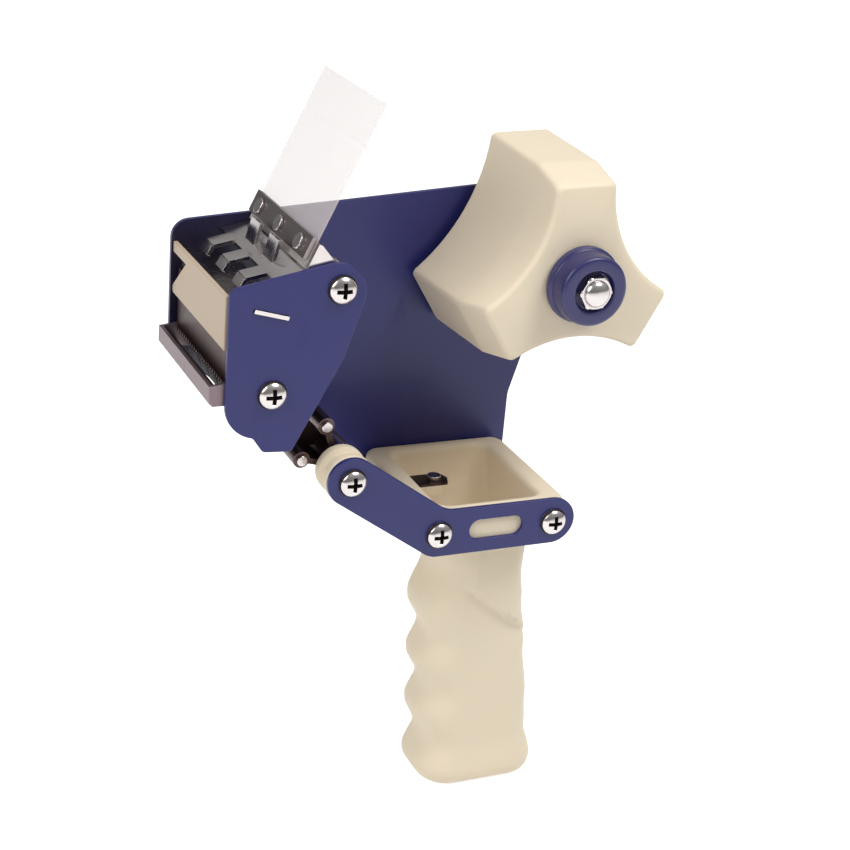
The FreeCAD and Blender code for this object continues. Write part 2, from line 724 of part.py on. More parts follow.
def star(body, y, radius, tip_half, scoop):
    """Three-armed section: straight arm tips joined by hollow arcs."""
    sketch = side_sketch(body, y)
    corners = []
    for arm in range(3):
        angle = S["hub_turn"] + 90.0 + 120.0 * arm
        along = root(radius * radius - tip_half * tip_half)
        for side in (-1, 1):
            x = along * cosine(angle) - tip_half * side * sine(angle)
            z = along * sine(angle) + tip_half * side * cosine(angle)
            corners.append((x, z))
    points = [FreeCAD.Vector(x.number, z.number, 0) for x, z in corners]
    for arm in range(3):
        sketch.addGeometry(Part.LineSegment(points[2 * arm], points[2 * arm + 1]), False)
    for arm in range(3):
        start, end = points[2 * arm + 1], points[(2 * arm + 2) % 6]
        middle = (start + end) / 2
        chord = start.distanceToPoint(end)
        lift = math.sqrt(scoop.number ** 2 - chord ** 2 / 4)
        centre = middle + middle / middle.Length * lift
        ring = Part.Circle(centre, FreeCAD.Vector(0, 0, 1), scoop.number)
        first = math.atan2(end.y - centre.y, end.x - centre.x)
        last = math.atan2(start.y - centre.y, start.x - centre.x)
        if last < first:
            last += 2 * math.pi
        sketch.addGeometry(Part.ArcOfCircle(ring, first, last), False)
    for arm in range(3):
        tie(sketch, "DistanceX", (arm, 1), corners[2 * arm][0])
        tie(sketch, "DistanceY", (arm, 1), corners[2 * arm][1])
        tie(sketch, "DistanceX", (arm, 2), corners[2 * arm + 1][0])
        tie(sketch, "DistanceY", (arm, 2), corners[2 * arm + 1][1])
        sketch.addConstraint(Sketcher.Constraint("Coincident", arm, 2, 3 + arm, 2))
        sketch.addConstraint(Sketcher.Constraint("Coincident", 3 + arm, 1, (arm + 1) % 3, 1))
        tie(sketch, "Radius", (3 + arm,), scoop)
    return sketch


hub_back = far_face - S["flange_height"] - S["brake_height"]
hub_front = -hub_back
knob_back = hub_front - S["knob_lift"]
knob_front = knob_back - S["knob_height"]
dish_floor = knob_front + S["knob_dish"]
washer_back = knob_back - S["knob_well"] + S["washer_height"]


def make_hub():
    body = new_body("tape_hub")
    nose = hub_front + S["hub_nose"]
    tip = S["hub_tip_half"]
    wall = S["hub_wall"]
    wide = S["hub_scoop_back"]
    narrow = S["hub_scoop_front"]
    waist = (wide + narrow) / 2
    loft(body, [star(body, hub_back, S["hub_back_radius"], tip, wide),
                star(body, nose, S["hub_waist_radius"], tip, waist),
                star(body, hub_front, S["hub_front_radius"], tip, narrow)], ruled=True)

    def hollow(y, radius, scoop):
        return star(body, y, radius - wall, tip - wall, scoop + wall)

    before = body.Shape.Volume
    loft(body, [hollow(hub_back, S["hub_back_radius"], wide),
                hollow(nose, S["hub_waist_radius"], waist),
                hollow(hub_front + wall, S["hub_front_radius"], narrow)],
         "SubtractiveLoft", ruled=True)
    if body.Shape.Volume > before:
        raise ValueError("the hub isn't hollow")
    middle = (fixed(0), fixed(0))
    pad(body, circle(side_sketch(body, hub_back), *middle, S["hub_boss"]),
        hub_back - hub_front)
    holes(body, [middle], S["spindle_radius"] + S["running"], hub_front, hub_back - hub_front)
    return keep(body, "tape_hub")


def make_brake():
    flange = far_face - S["flange_height"]
    step = hub_front + 2
    rivet = S["spindle_radius"] - 1
    head = far_skin + S["rivet_head"]
    stud_end = dish_floor - S["nut_height"] + 1.5
    spindle = [
        (fixed(0), head), (rivet + 2, head), (rivet + 2, far_skin),
        (rivet, far_skin), (rivet, far_face), (S["spindle_flange"], far_face),
        (S["spindle_flange"], flange), (S["spindle_radius"], flange),
        (S["spindle_radius"], step), (S["stud_radius"], step),
        (S["stud_radius"], stud_end), (fixed(0), stud_end),
    ]
    keep(turned("hub_spindle", spindle), "hub_spindle")
    loose = S["spindle_radius"] + S["running"]
    keep(tube("brake_washer", loose, S["brake_radius"], hub_back, flange, None, None),
         "brake_washer")
    stud = S["stud_radius"] + S["running"]
    well = knob_back - S["knob_well"]
    keep(tube("thrust_washer", stud, S["washer_radius"], well, washer_back, None, None),
         "thrust_washer")
    flange_front = knob_back - S["knob_flange_height"]
    recess = S["washer_radius"] + 0.5
    dish = S["nut_half"] + 1.4
    knob = [
        (recess, knob_back), (recess, well), (stud, well), (stud, dish_floor),
        (dish, dish_floor), (dish, knob_front), (S["knob_radius"] - 1.2, knob_front),
        (S["knob_radius"], knob_front + 1.2), (S["knob_radius"], flange_front),
        (S["knob_flange"], flange_front), (S["knob_flange"], knob_back),
    ]
    keep(turned("brake_knob", knob), "brake_knob")


def make_nut():
    """Dome nut: a hexagon whose front is turned down to a dome."""
    body = new_body("hub_nut")
    corner = S["nut_half"] * 2 / math.sqrt(3.0)
    points = []
    for number in range(6):
        angle = fixed(60.0 * number)
        points.append((corner * cosine(angle), corner * sine(angle)))
    pad(body, polygon(side_sketch(body, dish_floor), points), S["nut_height"])
    top = dish_floor - S["nut_height"]
    ring = [(S["nut_half"] * 0.72, top), (corner + 1, top), (corner + 1, dish_floor - 3.2),
            (S["nut_half"], dish_floor - 3.2), (S["nut_half"] * 0.93, top + 0.9)]
    groove = body.newObject("PartDesign::Groove", "hub_nut_dome")
    groove.Profile = polygon(plane_sketch(body, "XY_Plane", fixed(0)), ring)
    groove.ReferenceAxis = (groove.Profile[0], ["V_Axis"])
    document.recompute()
    holes(body, [(fixed(0), fixed(0))], S["stud_radius"] + S["running"], top + 1.2,
          S["nut_height"])
    return keep(body, "hub_nut")


def make_coil(label, radius, wire, low, high, turns, x=None, z=None):
    """Round wire coil about an axis along Y."""
    body = new_body(label)
    sketch = circle(plane_sketch(body, "XY_Plane", fixed(0)), radius, low + wire, wire)
    helix = body.newObject("PartDesign::AdditiveHelix", f"{label}_helix")
    helix.Profile = sketch
    helix.ReferenceAxis = (sketch, ["V_Axis"])
    helix.Mode = "height-turns-angle"
    helix.Turns = turns
    helix.Height = (high - low - wire * 2).number
    bind(helix, "Height", high - low - wire * 2)
    place(body, x, z)
    return keep(body, label)


# ---------------------------------------------------------------- head

def make_guide_sheet():
    body = new_body("guide_sheet")
    slope = S["web_slope"]
    grade = sine(slope) / cosine(slope)

    def web(x):
        return (x, S["tab_z"] + (S["tab_x"] - x) * grade)

    thick = S["guide_sheet_thick"]
    width = S["tape_gap"] - 0.2
    strip = sheet_strip(web(S["web_front"]), web(S["web_rear"]), thick)
    pad(body, polygon(side_sketch(body, fixed(0)), strip), width, mid=True)
    front = S["web_front"]
    flange = [(front, S["web_flange"]), (front + thick, S["web_flange"]),
              (front + thick, web(front)[1]), (front, web(front)[1])]
    pad(body, polygon(side_sketch(body, fixed(0)), flange), S["blade_half"] * 2, mid=True)
    through = (S["tape_gap"] / 2 + S["sheet"] + 0.7) * 2
    pad(body, polygon(side_sketch(body, fixed(0)), tab_slot(fixed(0))), through, mid=True)
    drill = plane_sketch(body, "YZ_Plane", front)
    for y in (-S["blade_screw_y"], S["blade_screw_y"]):
        circle(drill, y, S["blade_screw_z"], S["blade_screw_radius"] + 0.1)
    cut(body, drill, thick * 1.5, back=True)
    return keep(body, "guide_sheet")


def make_blade():
    body = new_body("cutting_blade")
    half = S["blade_half"]
    teeth = 24
    pitch = half * 2 / teeth
    corners = [(half, S["blade_top"]), (-half, S["blade_top"])]
    for number in range(teeth):
        corners.append((-half + pitch * number, S["blade_root"]))
        corners.append((-half + pitch * (number + 0.5), S["blade_root"] - S["tooth_depth"]))
    corners.append((half, S["blade_root"]))
    back = S["web_front"]
    pad(body, polygon(plane_sketch(body, "YZ_Plane", back), corners), S["blade_thick"], back=True)
    drill = plane_sketch(body, "YZ_Plane", back)
    for y in (-S["blade_screw_y"], S["blade_screw_y"]):
        circle(drill, y, S["blade_screw_z"], S["blade_screw_radius"] + 0.1)
    cut(body, drill, S["blade_thick"])
    return keep(body, "cutting_blade")


def make_apron():
    body = new_body("front_apron")
    half = S["apron_half"]
    lip = S["apron_top"] - S["apron_lip"]
    corners = [
        (-half, S["apron_bottom"]), (half, S["apron_bottom"]), (half, S["apron_slant_z"]),
        (S["apron_slant_y"], lip), (half, lip), (half, S["apron_top"]), (-half, S["apron_top"]),
    ]
    back = S["web_front"] - S["blade_thick"]
    pad(body, polygon(plane_sketch(body, "YZ_Plane", back), corners), S["apron_thick"], back=True)
    spots = [(half, S["apron_slant_z"]), (half, S["apron_bottom"])]
    round_edges(body, fixed(1.1), corner_test(spots, 1, 2))
    return keep(body, "front_apron")


def make_blade_screws():
    bodies = []
    back = S["web_front"] + S["guide_sheet_thick"]
    reach = S["guide_sheet_thick"] + S["blade_thick"]
    radius = S["blade_screw_radius"]
    for number, y in enumerate((-S["blade_screw_y"], S["blade_screw_y"])):
        body = new_body(f"blade_screw_{number}")
        shank = plane_sketch(body, "YZ_Plane", back)
        pad(body, circle(shank, y, S["blade_screw_z"], radius), reach, back=True)
        head = plane_sketch(body, "YZ_Plane", back)
        pad(body, circle(head, y, S["blade_screw_z"], radius + 1.3), fixed(1.6))
        bodies.append(body)
    group("blade_screws", bodies)


def make_guard():
    body = new_body("blade_guard")
    thick = S["ear"]
    half = S["tape_gap"] / 2 - S["ear_play"]
    front = S["guard_front"]
    lip = [
        (front, S["guard_top"]), (front, S["guard_bottom"] + 1.2),
        (front + 1.2, S["guard_bottom"]), (front + S["guard_leg"], S["guard_bottom"]),
        (front + S["guard_leg"], S["guard_bottom"] + thick),
        (front + thick + 0.8, S["guard_bottom"] + thick),
        (front + thick, S["guard_bottom"] + thick + 0.8), (front + thick, S["guard_top"]),
    ]
    pad(body, polygon(side_sketch(body, fixed(0)), lip), half * 2, mid=True)
    eye = S["guard_eye"]
    ear = [(front + 0.6, S["guard_top"]), (front + 0.6, S["guard_bottom"] + 1),
           (S["press_x"], S["press_z"] - eye), (S["press_x"], S["press_z"] + eye)]
    for side in (half, thick - half):
        pad(body, polygon(side_sketch(body, side), ear), thick)
        pad(body, circle(side_sketch(body, side), *PRESS, eye), thick)
    holes(body, [PRESS], S["axle_radius"] + S["running"], -half, half * 2)
    return keep(body, "blade_guard")


inside_ears = S["tape_gap"] / 2 - S["ear_play"] - S["ear"] - S["side_play"]
gate_coil = S["guide_roller_half"] + S["side_play"] * 2 + S["collar_length"]


def make_rollers():
    bore = S["axle_radius"] + S["running"]
    edge = S["press_roller"] - 1
    end = inside_ears - S["coil_room"]
    press = [(bore, -end), (edge, -end), (S["press_roller"], -end + 1),
             (S["press_roller"], end - 1), (edge, end), (bore, end)]
    keep(turned("press_roller", press, *PRESS), "press_roller")
    collar = S["axle_radius"] + S["collar_wall"]
    keep(tube("press_collar", bore, collar, -inside_ears, -end - S["side_play"], *PRESS),
         "press_collar")
    long = S["guide_roller_half"]
    rim = S["guide_roller"]
    guide = [(bore, -long), (rim, -long), (rim, -long + 2), (rim - 0.8, -long + 3),
             (rim - 0.8, long - 3), (rim, long - 2), (rim, long), (bore, long)]
    keep(turned("guide_roller", guide, *GATE), "guide_roller")
    for name, side in (("near", -1), ("far", 1)):
        inner = (long + S["side_play"]) * side
        outer = (long + S["side_play"] + S["collar_length"]) * side
        low, high = (outer, inner) if side < 0 else (inner, outer)
        keep(tube(f"guide_collar_{name}", bore, collar, low, high, *GATE),
             f"guide_collar_{name}")


# ---------------------------------------------------------------- gate and flap

FOOT = (S["flap_x"], S["flap_z"])
lean_x = sine(S["flap_tilt"])
lean_z = cosine(S["flap_tilt"])


def up_flap(distance, out=fixed(0)):
    """Point at a distance up the flap, moved out towards its front."""
    return (FOOT[0] + lean_x * distance - lean_z * out,
            FOOT[1] + lean_z * distance + lean_x * out)


def flap_layer(distance_low, distance_high, out_low, out_high):
    """Side view of a flat layer parallel to the flap."""
    return [up_flap(distance_low, out_low), up_flap(distance_high, out_low),
            up_flap(distance_high, out_high), up_flap(distance_low, out_high)]


def make_gate():
    body = new_body("tape_gate")
    thick = S["ear"]
    half = S["tape_gap"] / 2 - S["ear_play"]
    low = -S["flap_grip"]
    centre = fixed(0)
    flange = flap_layer(low, S["clamp_height"] - 1, -thick, fixed(0))
    pad(body, polygon(side_sketch(body, centre), flange), half * 2, mid=True)
    nose = (S["gate_nose_x"], S["gate_nose_z"])
    heel = up_flap(low, -(thick / 2))
    pad(body, polygon(side_sketch(body, centre), sheet_strip(nose, heel, thick)), half * 2,
        mid=True)
    ear = [
        (S["gate_x"], S["gate_z"] - S["gate_eye"]), (S["gate_x"], S["gate_z"] + S["gate_eye"]),
        up_flap(S["clamp_height"] - 1, -thick), up_flap(low, fixed(0)),
        (nose[0] + 1, nose[1] - thick),
    ]
    for side in (half, thick - half):
        pad(body, polygon(side_sketch(body, side), ear), thick)
        pad(body, circle(side_sketch(body, side), *GATE, S["gate_eye"]), thick)
    holes(body, [GATE], S["axle_radius"] + S["running"], -half, half * 2)
    reach = S["prong_reach"]
    tip = (nose[0] - reach, nose[1] - 1.0)
    curl = (tip[0] - 1.6, tip[1] - 2.8)
    for number in (-1, 0, 1):
        edge = S["prong_spacing"] * number + S["prong_width"] / 2
        start = (nose[0] + 1, nose[1] + 0.5)
        pad(body, polygon(side_sketch(body, edge), sheet_strip(start, tip, thick)),
            S["prong_width"])
        pad(body, polygon(side_sketch(body, edge), sheet_strip(tip, curl, thick)),
            S["prong_width"])
    for number in (-0.5, 0.5):
        edge = S["lug_spacing"] * number + S["lug_width"] / 2
        base = (nose[0] + 4, nose[1] + 1.0)
        top = (base[0] + 2.0, base[1] + S["lug_height"])
        pad(body, polygon(side_sketch(body, edge), sheet_strip(base, top, thick)),
            S["lug_width"])
    return keep(body, "tape_gate")


def make_flap():
    film = S["flap_film"]
    body = new_body("wiper_flap")
    layer = flap_layer(S["ear"] - S["flap_grip"], S["flap_length"], fixed(0), film)
    pad(body, polygon(side_sketch(body, fixed(0)), layer), S["flap_width"], mid=True)
    keep(body, "wiper_flap")
    body = new_body("flap_clamp")
    layer = flap_layer(fixed(-0.5), S["clamp_height"], film, film + S["clamp_thick"])
    pad(body, polygon(side_sketch(body, fixed(0)), layer), S["flap_width"], mid=True)
    keep(body, "flap_clamp")


def flap_sketch(body, out):
    """A sketch parallel to the flap, moved out towards its front."""
    x, z = up_flap(fixed(0), out)
    sketch = plane_sketch(body, "YZ_Plane", x)
    turn = FreeCAD.Rotation(FreeCAD.Vector(1, 0, 0), S["flap_tilt"].number)
    sketch.AttachmentOffset = FreeCAD.Placement(FreeCAD.Vector(0, z.number, x.number), turn)
    bind(sketch, "AttachmentOffset.Base.y", z)
    bind(sketch, "AttachmentOffset.Rotation.Angle", S["flap_tilt"])
    return sketch


def make_rivets():
    """Drill the gate, the film and the clamp, and fill the holes with rivets."""
    up = S["rivet_up"]
    radius = S["rivet_radius"]
    places = [S["rivet_spacing"] * number for number in (-1, 0, 1)]
    for body in nodes[-3:]:
        sketch = flap_sketch(body, fixed(6))
        for y in places:
            circle(sketch, y, up, radius + S["running"])
        cut(body, sketch, fixed(12), back=True)
    front = S["flap_film"] + S["clamp_thick"]
    bodies = []
    for number, y in enumerate(places):
        body = new_body(f"flap_rivet_{number}")
        pad(body, circle(flap_sketch(body, front), y, up, radius), front + S["ear"])
        pad(body, circle(flap_sketch(body, front), y, up, radius + 1.1), fixed(1.0), back=True)
        pad(body, circle(flap_sketch(body, -S["ear"]), y, up, radius + 0.9), fixed(0.8))
        bodies.append(body)
    group("flap_rivets", bodies)


# ---------------------------------------------------------------- lever

def make_lever():
    bore = S["pivot_radius"] + S["running"]
    bush_end = near_face + S["bush_length"]
    rim = S["bush_radius"]
    groove = S["bush_groove"]
    start = near_face
    step = S["bush_flange"]
    bush = [(bore, start), (rim, start), (rim, start + step), (groove, start + step + 1),
            (groove, bush_end - step - 1), (rim, bush_end - step), (rim, bush_end),
            (bore, bush_end)]
    keep(turned("pivot_bush", bush, *PIVOT), "pivot_bush")

    sleeve = bush_end + S["side_play"]
    sleeve_end = sleeve + S["sleeve_length"]
    keep(tube("pivot_spacer", bore, S["sleeve_radius"], sleeve_end + S["side_play"], far_face,
              *PIVOT), "pivot_spacer")

    body = new_body("brake_lever")
    pad(body, circle(side_sketch(body, sleeve_end), *PIVOT, S["sleeve_radius"]),
        S["sleeve_length"])
    far_edge = sleeve + 1 + S["lever_width"]
    for end_x, end_z in ((S["finger_x"], S["finger_z"]), (S["foot_x"], S["foot_z"])):
        run_x = end_x - S["pivot_x"]
        run_z = end_z - S["pivot_z"]
        length = root(run_x * run_x + run_z * run_z)
        share = (S["sleeve_radius"] - 0.6) / length
        base = (S["pivot_x"] + run_x * share, S["pivot_z"] + run_z * share)
        strip = sheet_strip(base, (end_x, end_z), S["lever_sheet"])
        pad(body, polygon(side_sketch(body, far_edge), strip), S["lever_width"])
        eye = side_sketch(body, far_edge)
        pad(body, circle(eye, end_x, end_z, S["pin_radius"] + 1), S["lever_width"])
    web = [(S["pivot_x"], S["pivot_z"] + 3), (S["foot_x"], S["foot_z"]),
           (S["finger_x"], S["finger_z"])]
    pad(body, polygon(side_sketch(body, far_edge), web), S["lever_sheet"])
    low = far_edge - S["lever_width"]
    holes(body, [PIVOT], bore, sleeve, S["sleeve_length"])
    pin_spots = [(S["finger_x"], S["finger_z"]), (S["foot_x"], S["foot_z"])]
    holes(body, pin_spots, S["pin_radius"], low, S["lever_width"])
    keep(body, "brake_lever")
    stand = S["pin_stand"]
    pins = [tube(f"lever_pin_{number}", fixed(0), S["pin_radius"], low - stand, far_edge + stand,
                 *spot) for number, spot in enumerate(pin_spots)]
    group("lever_pins", pins)


def make_leaf_spring():
    body = new_body("leaf_spring")
    thick = S["leaf_thick"]
    drop = S["leaf_drop"]
    clear = S["sleeve_radius"] + thick / 2 + S["leaf_play"]
    slant = root(fixed(2.0))
    touch = (S["pivot_x"] + clear / slant, S["pivot_z"] + clear / slant)
    front = (touch[0] - 4, touch[1] + 4)
    bend = (touch[0] + 9, touch[1] - 9)
    wall = (S["box_front"] - 2, drop + 2.4)
    flat = (S["box_front"] + S["end_wall"] + 2, drop)
    tip = (S["leaf_tip"] - 2, drop)
    width = S["leaf_width"]
    stops = [front, bend, wall, flat, tip]
    for start, end in zip(stops, stops[1:]):
        pad(body, polygon(side_sketch(body, S["leaf_y"]), sheet_strip(start, end, thick)), width,
            mid=True)
    point = plane_sketch(body, "XY_Plane", drop - thick / 2)
    half = width / 2
    arrow = [(tip[0] - 0.5, S["leaf_y"] - half), (tip[0] + 0.5, S["leaf_y"] - half),
             (S["leaf_tip"], S["leaf_y"]), (tip[0] + 0.5, S["leaf_y"] + half),
             (tip[0] - 0.5, S["leaf_y"] + half)]
    pad(body, polygon(point, arrow), thick)
    drill = plane_sketch(body, "XY_Plane", drop - thick / 2)
    cut(body, circle(drill, S["leaf_screw_x"], S["leaf_y"], S["leaf_screw_radius"] + 0.3), thick,
        back=True)
    keep(body, "leaf_spring")

    body = new_body("leaf_screw")
    top = drop + thick / 2
    shank = plane_sketch(body, "XY_Plane", top)
    radius = S["leaf_screw_radius"]
    pad(body, circle(shank, S["leaf_screw_x"], S["leaf_y"], radius), S["ledge_height"], back=True)
    head = plane_sketch(body, "XY_Plane", top)
    pad(body, circle(head, S["leaf_screw_x"], S["leaf_y"], radius * 2), fixed(1.5))
    keep(body, "leaf_screw")


# ---------------------------------------------------------------- build and export

def check_document():
    for thing in document.Objects:
        if "Invalid" in thing.State or "Error" in thing.State:
            raise ValueError(f"{thing.Label} failed: {thing.State}")
    for thing in nodes:
        if thing.Shape.isNull() or not thing.Shape.isValid():
            raise ValueError(f"{thing.Label} has no valid shape")


def main():
    make_side_frame()
    make_head_plate()
    make_handle_bracket()
    make_screws()
    make_axle("gate_axle", S["axle_radius"], *GATE)
    make_axle("press_axle", S["axle_radius"], *PRESS)
    make_axle("pivot_axle", S["pivot_radius"], *PIVOT)
    make_handle()
    make_hub()
    make_brake()
    make_nut()
    make_coil("hub_spring", S["spring_radius"], S["spring_wire"],
              washer_back + 0.1, hub_front - 0.1, 3)
    make_guide_sheet()
    make_blade()
    make_apron()
    make_blade_screws()
    make_guard()
    make_rollers()
    make_gate()
    make_flap()
    make_rivets()
    coil = S["axle_radius"] + S["coil_wire"] * 2 + 0.1
    make_coil("gate_spring", coil, S["coil_wire"], gate_coil, inside_ears - 0.1, 4, *GATE)
    make_coil("guard_spring", coil, S["coil_wire"],
              inside_ears - S["coil_room"] + S["side_play"], inside_ears - 0.1, 1.5, *PRESS)
    make_lever()
    make_leaf_spring()
    document.recompute()
    check_document()
    os.makedirs("parts", exist_ok=True)
    for thing in nodes:
        thing.Shape.exportStep(f"parts/{thing.Label}.step")
        box = thing.Shape.BoundBox
        print(f"{thing.Label:20s} solids {len(thing.Shape.Solids)} volume {thing.Shape.Volume:9.1f} "
              f"x {box.XMin:7.1f} {box.XMax:7.1f} y {box.YMin:6.1f} {box.YMax:6.1f} "
              f"z {box.ZMin:7.1f} {box.ZMax:7.1f}")


main()
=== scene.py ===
import json
import math

import bmesh
import bpy
from bpy.props import FloatProperty, FloatVectorProperty, PointerProperty
from mathutils import Matrix, Vector


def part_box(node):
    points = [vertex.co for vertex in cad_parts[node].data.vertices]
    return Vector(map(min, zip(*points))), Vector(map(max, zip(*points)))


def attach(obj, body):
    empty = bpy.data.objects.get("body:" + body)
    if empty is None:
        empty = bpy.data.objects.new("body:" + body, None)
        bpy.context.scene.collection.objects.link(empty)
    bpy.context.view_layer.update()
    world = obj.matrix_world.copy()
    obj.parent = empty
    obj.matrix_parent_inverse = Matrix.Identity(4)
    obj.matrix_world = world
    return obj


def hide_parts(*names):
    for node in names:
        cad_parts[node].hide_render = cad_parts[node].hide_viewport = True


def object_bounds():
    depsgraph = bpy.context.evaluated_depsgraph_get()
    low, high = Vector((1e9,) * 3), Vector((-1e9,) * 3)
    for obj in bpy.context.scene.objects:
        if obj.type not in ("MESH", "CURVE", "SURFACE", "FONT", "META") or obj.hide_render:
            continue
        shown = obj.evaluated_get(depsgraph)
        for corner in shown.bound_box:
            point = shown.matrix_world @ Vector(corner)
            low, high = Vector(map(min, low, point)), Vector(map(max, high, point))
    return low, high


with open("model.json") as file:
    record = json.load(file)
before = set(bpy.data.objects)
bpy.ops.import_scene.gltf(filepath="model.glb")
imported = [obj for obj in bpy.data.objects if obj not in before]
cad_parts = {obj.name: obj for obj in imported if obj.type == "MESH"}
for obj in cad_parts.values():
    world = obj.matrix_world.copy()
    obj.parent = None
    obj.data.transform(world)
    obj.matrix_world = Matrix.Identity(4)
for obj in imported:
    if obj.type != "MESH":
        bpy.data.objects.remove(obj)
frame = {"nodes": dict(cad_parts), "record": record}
cad_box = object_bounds()

bl_info = {
    "name": "Packing tape dispenser",
    "version": (1, 0, 0),
    "blender": (4, 5, 0),
    "location": "3D View > Sidebar > Dispenser",
    "description": "Shapes and finishes of a hand-held tape dispenser, with its studio",
    "category": "Object",
}

MM = 0.001
BODY_OF = {node: body for body, members in frame["record"]["behaviour"]["bodies"].items()
           for node in members}


def tint(red, green, blue):
    """Linear colour from three display values of 0 to 255."""
    shares = [value / 255 for value in (red, green, blue)]
    return tuple(share / 12.92 if share < 0.04 else ((share + 0.055) / 1.055) ** 2.4
                 for share in shares)


def length(name, description, millimetres):
    return FloatProperty(name=name, description=description, default=millimetres * MM,
                         unit="LENGTH", subtype="DISTANCE", precision=5)


def colour(name, description, red, green, blue):
    return FloatVectorProperty(name=name, description=description, subtype="COLOR", size=3,
                               min=0.0, max=1.0, default=tint(red, green, blue))


class DispenserFinish(bpy.types.PropertyGroup):
    """Colours of the dispenser's finishes."""
    enamel: colour("Plate enamel", "Blue enamel on the plates and the bracket", 40, 42, 106)
    knob_blue: colour("Knob", "Blue of the moulded brake knob", 44, 42, 98)
    ivory: colour("Ivory", "Moulded handle, hub and bush", 243, 228, 202)
    # Painted shade: the apron is the ivory plastic made darker to stand in for its half shade under
    # the head.
    apron_painted_shade_ivory: colour("Apron", "Moulded front apron", 196, 176, 152)
    nickel: colour("Nickel", "Bright plated screws, nut and gate", 206, 200, 198)
    zinc: colour("Zinc", "Plated sheet and rods", 150, 140, 140)
    guard_grey: colour("Guard", "Plated guard below the blade", 132, 116, 120)
    spring_steel: colour("Spring steel", "Lever, leaf spring and coils", 92, 76, 76)
    blade_steel: colour("Blade", "Oiled cutting blade", 74, 54, 54)
    rubber: colour("Rubber", "Press roller", 52, 50, 52)
    film: colour("Film", "Clear flap", 255, 246, 243)
    fibre: colour("Fibre", "Brake washer", 134, 104, 76)


class DispenserShape(bpy.types.PropertyGroup):
    """Roundings and small forms of the dispenser."""
    plate_edge: length("Plate edge", "Rounding of the plates' edges", 0.3)
    sheet_edge: length("Sheet edge", "Rounding of thin sheet", 0.15)
    rim_round: length("Rim rounding", "Rounding of the handle's rim", 2.4)
    base_round: length("Base rounding", "Rounding of the handle's base", 5.0)
    thumb_depth: length("Thumb rest", "How far the thumb rest stands out from the grip", 1.5)
    hub_round: length("Hub rounding", "Rounding of the hub's edges", 1.6)
    hub_wall: length("Hub wall", "Wall of the hollow hub", 3.0)
    film_bow: length("Film bow", "How far the film bows between its sides", 0.5)
    score_depth: length("Film score", "Depth of the film's fold line", 0.22)


class DispenserStage(bpy.types.PropertyGroup):
    """Camera, floor and lamps."""
    azimuth: FloatProperty(name="Azimuth", description="Camera's direction round the tool",
                           default=math.radians(-25.243), subtype="ANGLE")
    elevation: FloatProperty(name="Elevation", description="Camera's height angle",
                             default=math.radians(22.698), subtype="ANGLE")
    roll: FloatProperty(name="Roll", description="Camera's roll", subtype="ANGLE",
                        default=math.radians(4.979))
    distance: length("Distance", "From the camera to the hub", 582.255)
    aside: length("Aside", "How far the view's middle lies to the left of the hub", 38.939)
    below: length("Below", "How far the view's middle lies below the hub", 53.806)
    lens: FloatProperty(name="Lens", description="Focal length in millimetres", default=76.235)
    key_power: FloatProperty(name="Key", description="Power of the main lamp", default=4.9,
                             unit="POWER")
    fill_power: FloatProperty(name="Fill", description="Power of the second lamp", default=5.2,
                              unit="POWER")


def finish():
    return bpy.context.scene.dispenser_finish


def shape():
    return bpy.context.scene.dispenser_shape


def stage():
    return bpy.context.scene.dispenser_stage


# ---------------------------------------------------------------- shader node groups

def add(tree, kind, inputs=None, **settings):
    """New node with its settings and the values of its sockets."""
    node = tree.nodes.new(kind)
    for name, value in settings.items():
        setattr(node, name, value)
    for name, value in (inputs or {}).items():
        node.inputs[name].default_value = value
    return node


def wire(tree, source, target):
    tree.links.new(source, target)


def calculate(tree, operation, first, second):
    """Math node; each operand is a socket or a number."""
    node = add(tree, "ShaderNodeMath", operation=operation)
    for socket, operand in zip(node.inputs, (first, second)):
        if isinstance(operand, (int, float)):
            socket.default_value = operand
        else:
            wire(tree, operand, socket)
    return node.outputs[0]


def spread(tree, value, low, high, new_low=0.0, new_high=1.0):
    """Map a value from one range onto another, clamped."""
    node = add(tree, "ShaderNodeMapRange", {"From Min": low, "From Max": high,
                                            "To Min": new_low, "To Max": new_high})
    wire(tree, value, node.inputs["Value"])
    return node.outputs[0]


def start_group(name, inputs, outputs):
    """Empty shader group with named sockets; gives the tree, its inputs and its outputs."""
    tree = bpy.data.node_groups.new(name, "ShaderNodeTree")
    for label, value in inputs.items():
        kind = "NodeSocketVector" if value is None else "NodeSocketFloat"
        socket = tree.interface.new_socket(label, in_out="INPUT", socket_type=kind)
        if value is not None:
            socket.default_value = value
    for label in outputs:
        tree.interface.new_socket(label, in_out="OUTPUT", socket_type="NodeSocketFloat")
    entry = tree.nodes.new("NodeGroupInput")
    leave = tree.nodes.new("NodeGroupOutput")
    return tree, entry.outputs, leave.inputs


def mottle_group():
    """Broad uneven tone and a fine grain."""
    inputs = {"Vector": None, "Scale": 30.0, "Contrast": 0.1, "Grain Scale": 900.0}
    tree, given, out = start_group("Mottle", inputs, ["Tone", "Grain"])
    broad = add(tree, "ShaderNodeTexNoise", {"Detail": 4.0, "Roughness": 0.6})
    fine = add(tree, "ShaderNodeTexNoise", {"Detail": 3.0, "Roughness": 0.55})
    for noise, scale in ((broad, "Scale"), (fine, "Grain Scale")):
        wire(tree, given["Vector"], noise.inputs["Vector"])
        wire(tree, given[scale], noise.inputs["Scale"])
    swing = calculate(tree, "SUBTRACT", broad.outputs[0], 0.5)
    swing = calculate(tree, "MULTIPLY", swing, given["Contrast"])
    wire(tree, calculate(tree, "ADD", swing, 1.0), out["Tone"])
    wire(tree, fine.outputs[0], out["Grain"])
    return tree


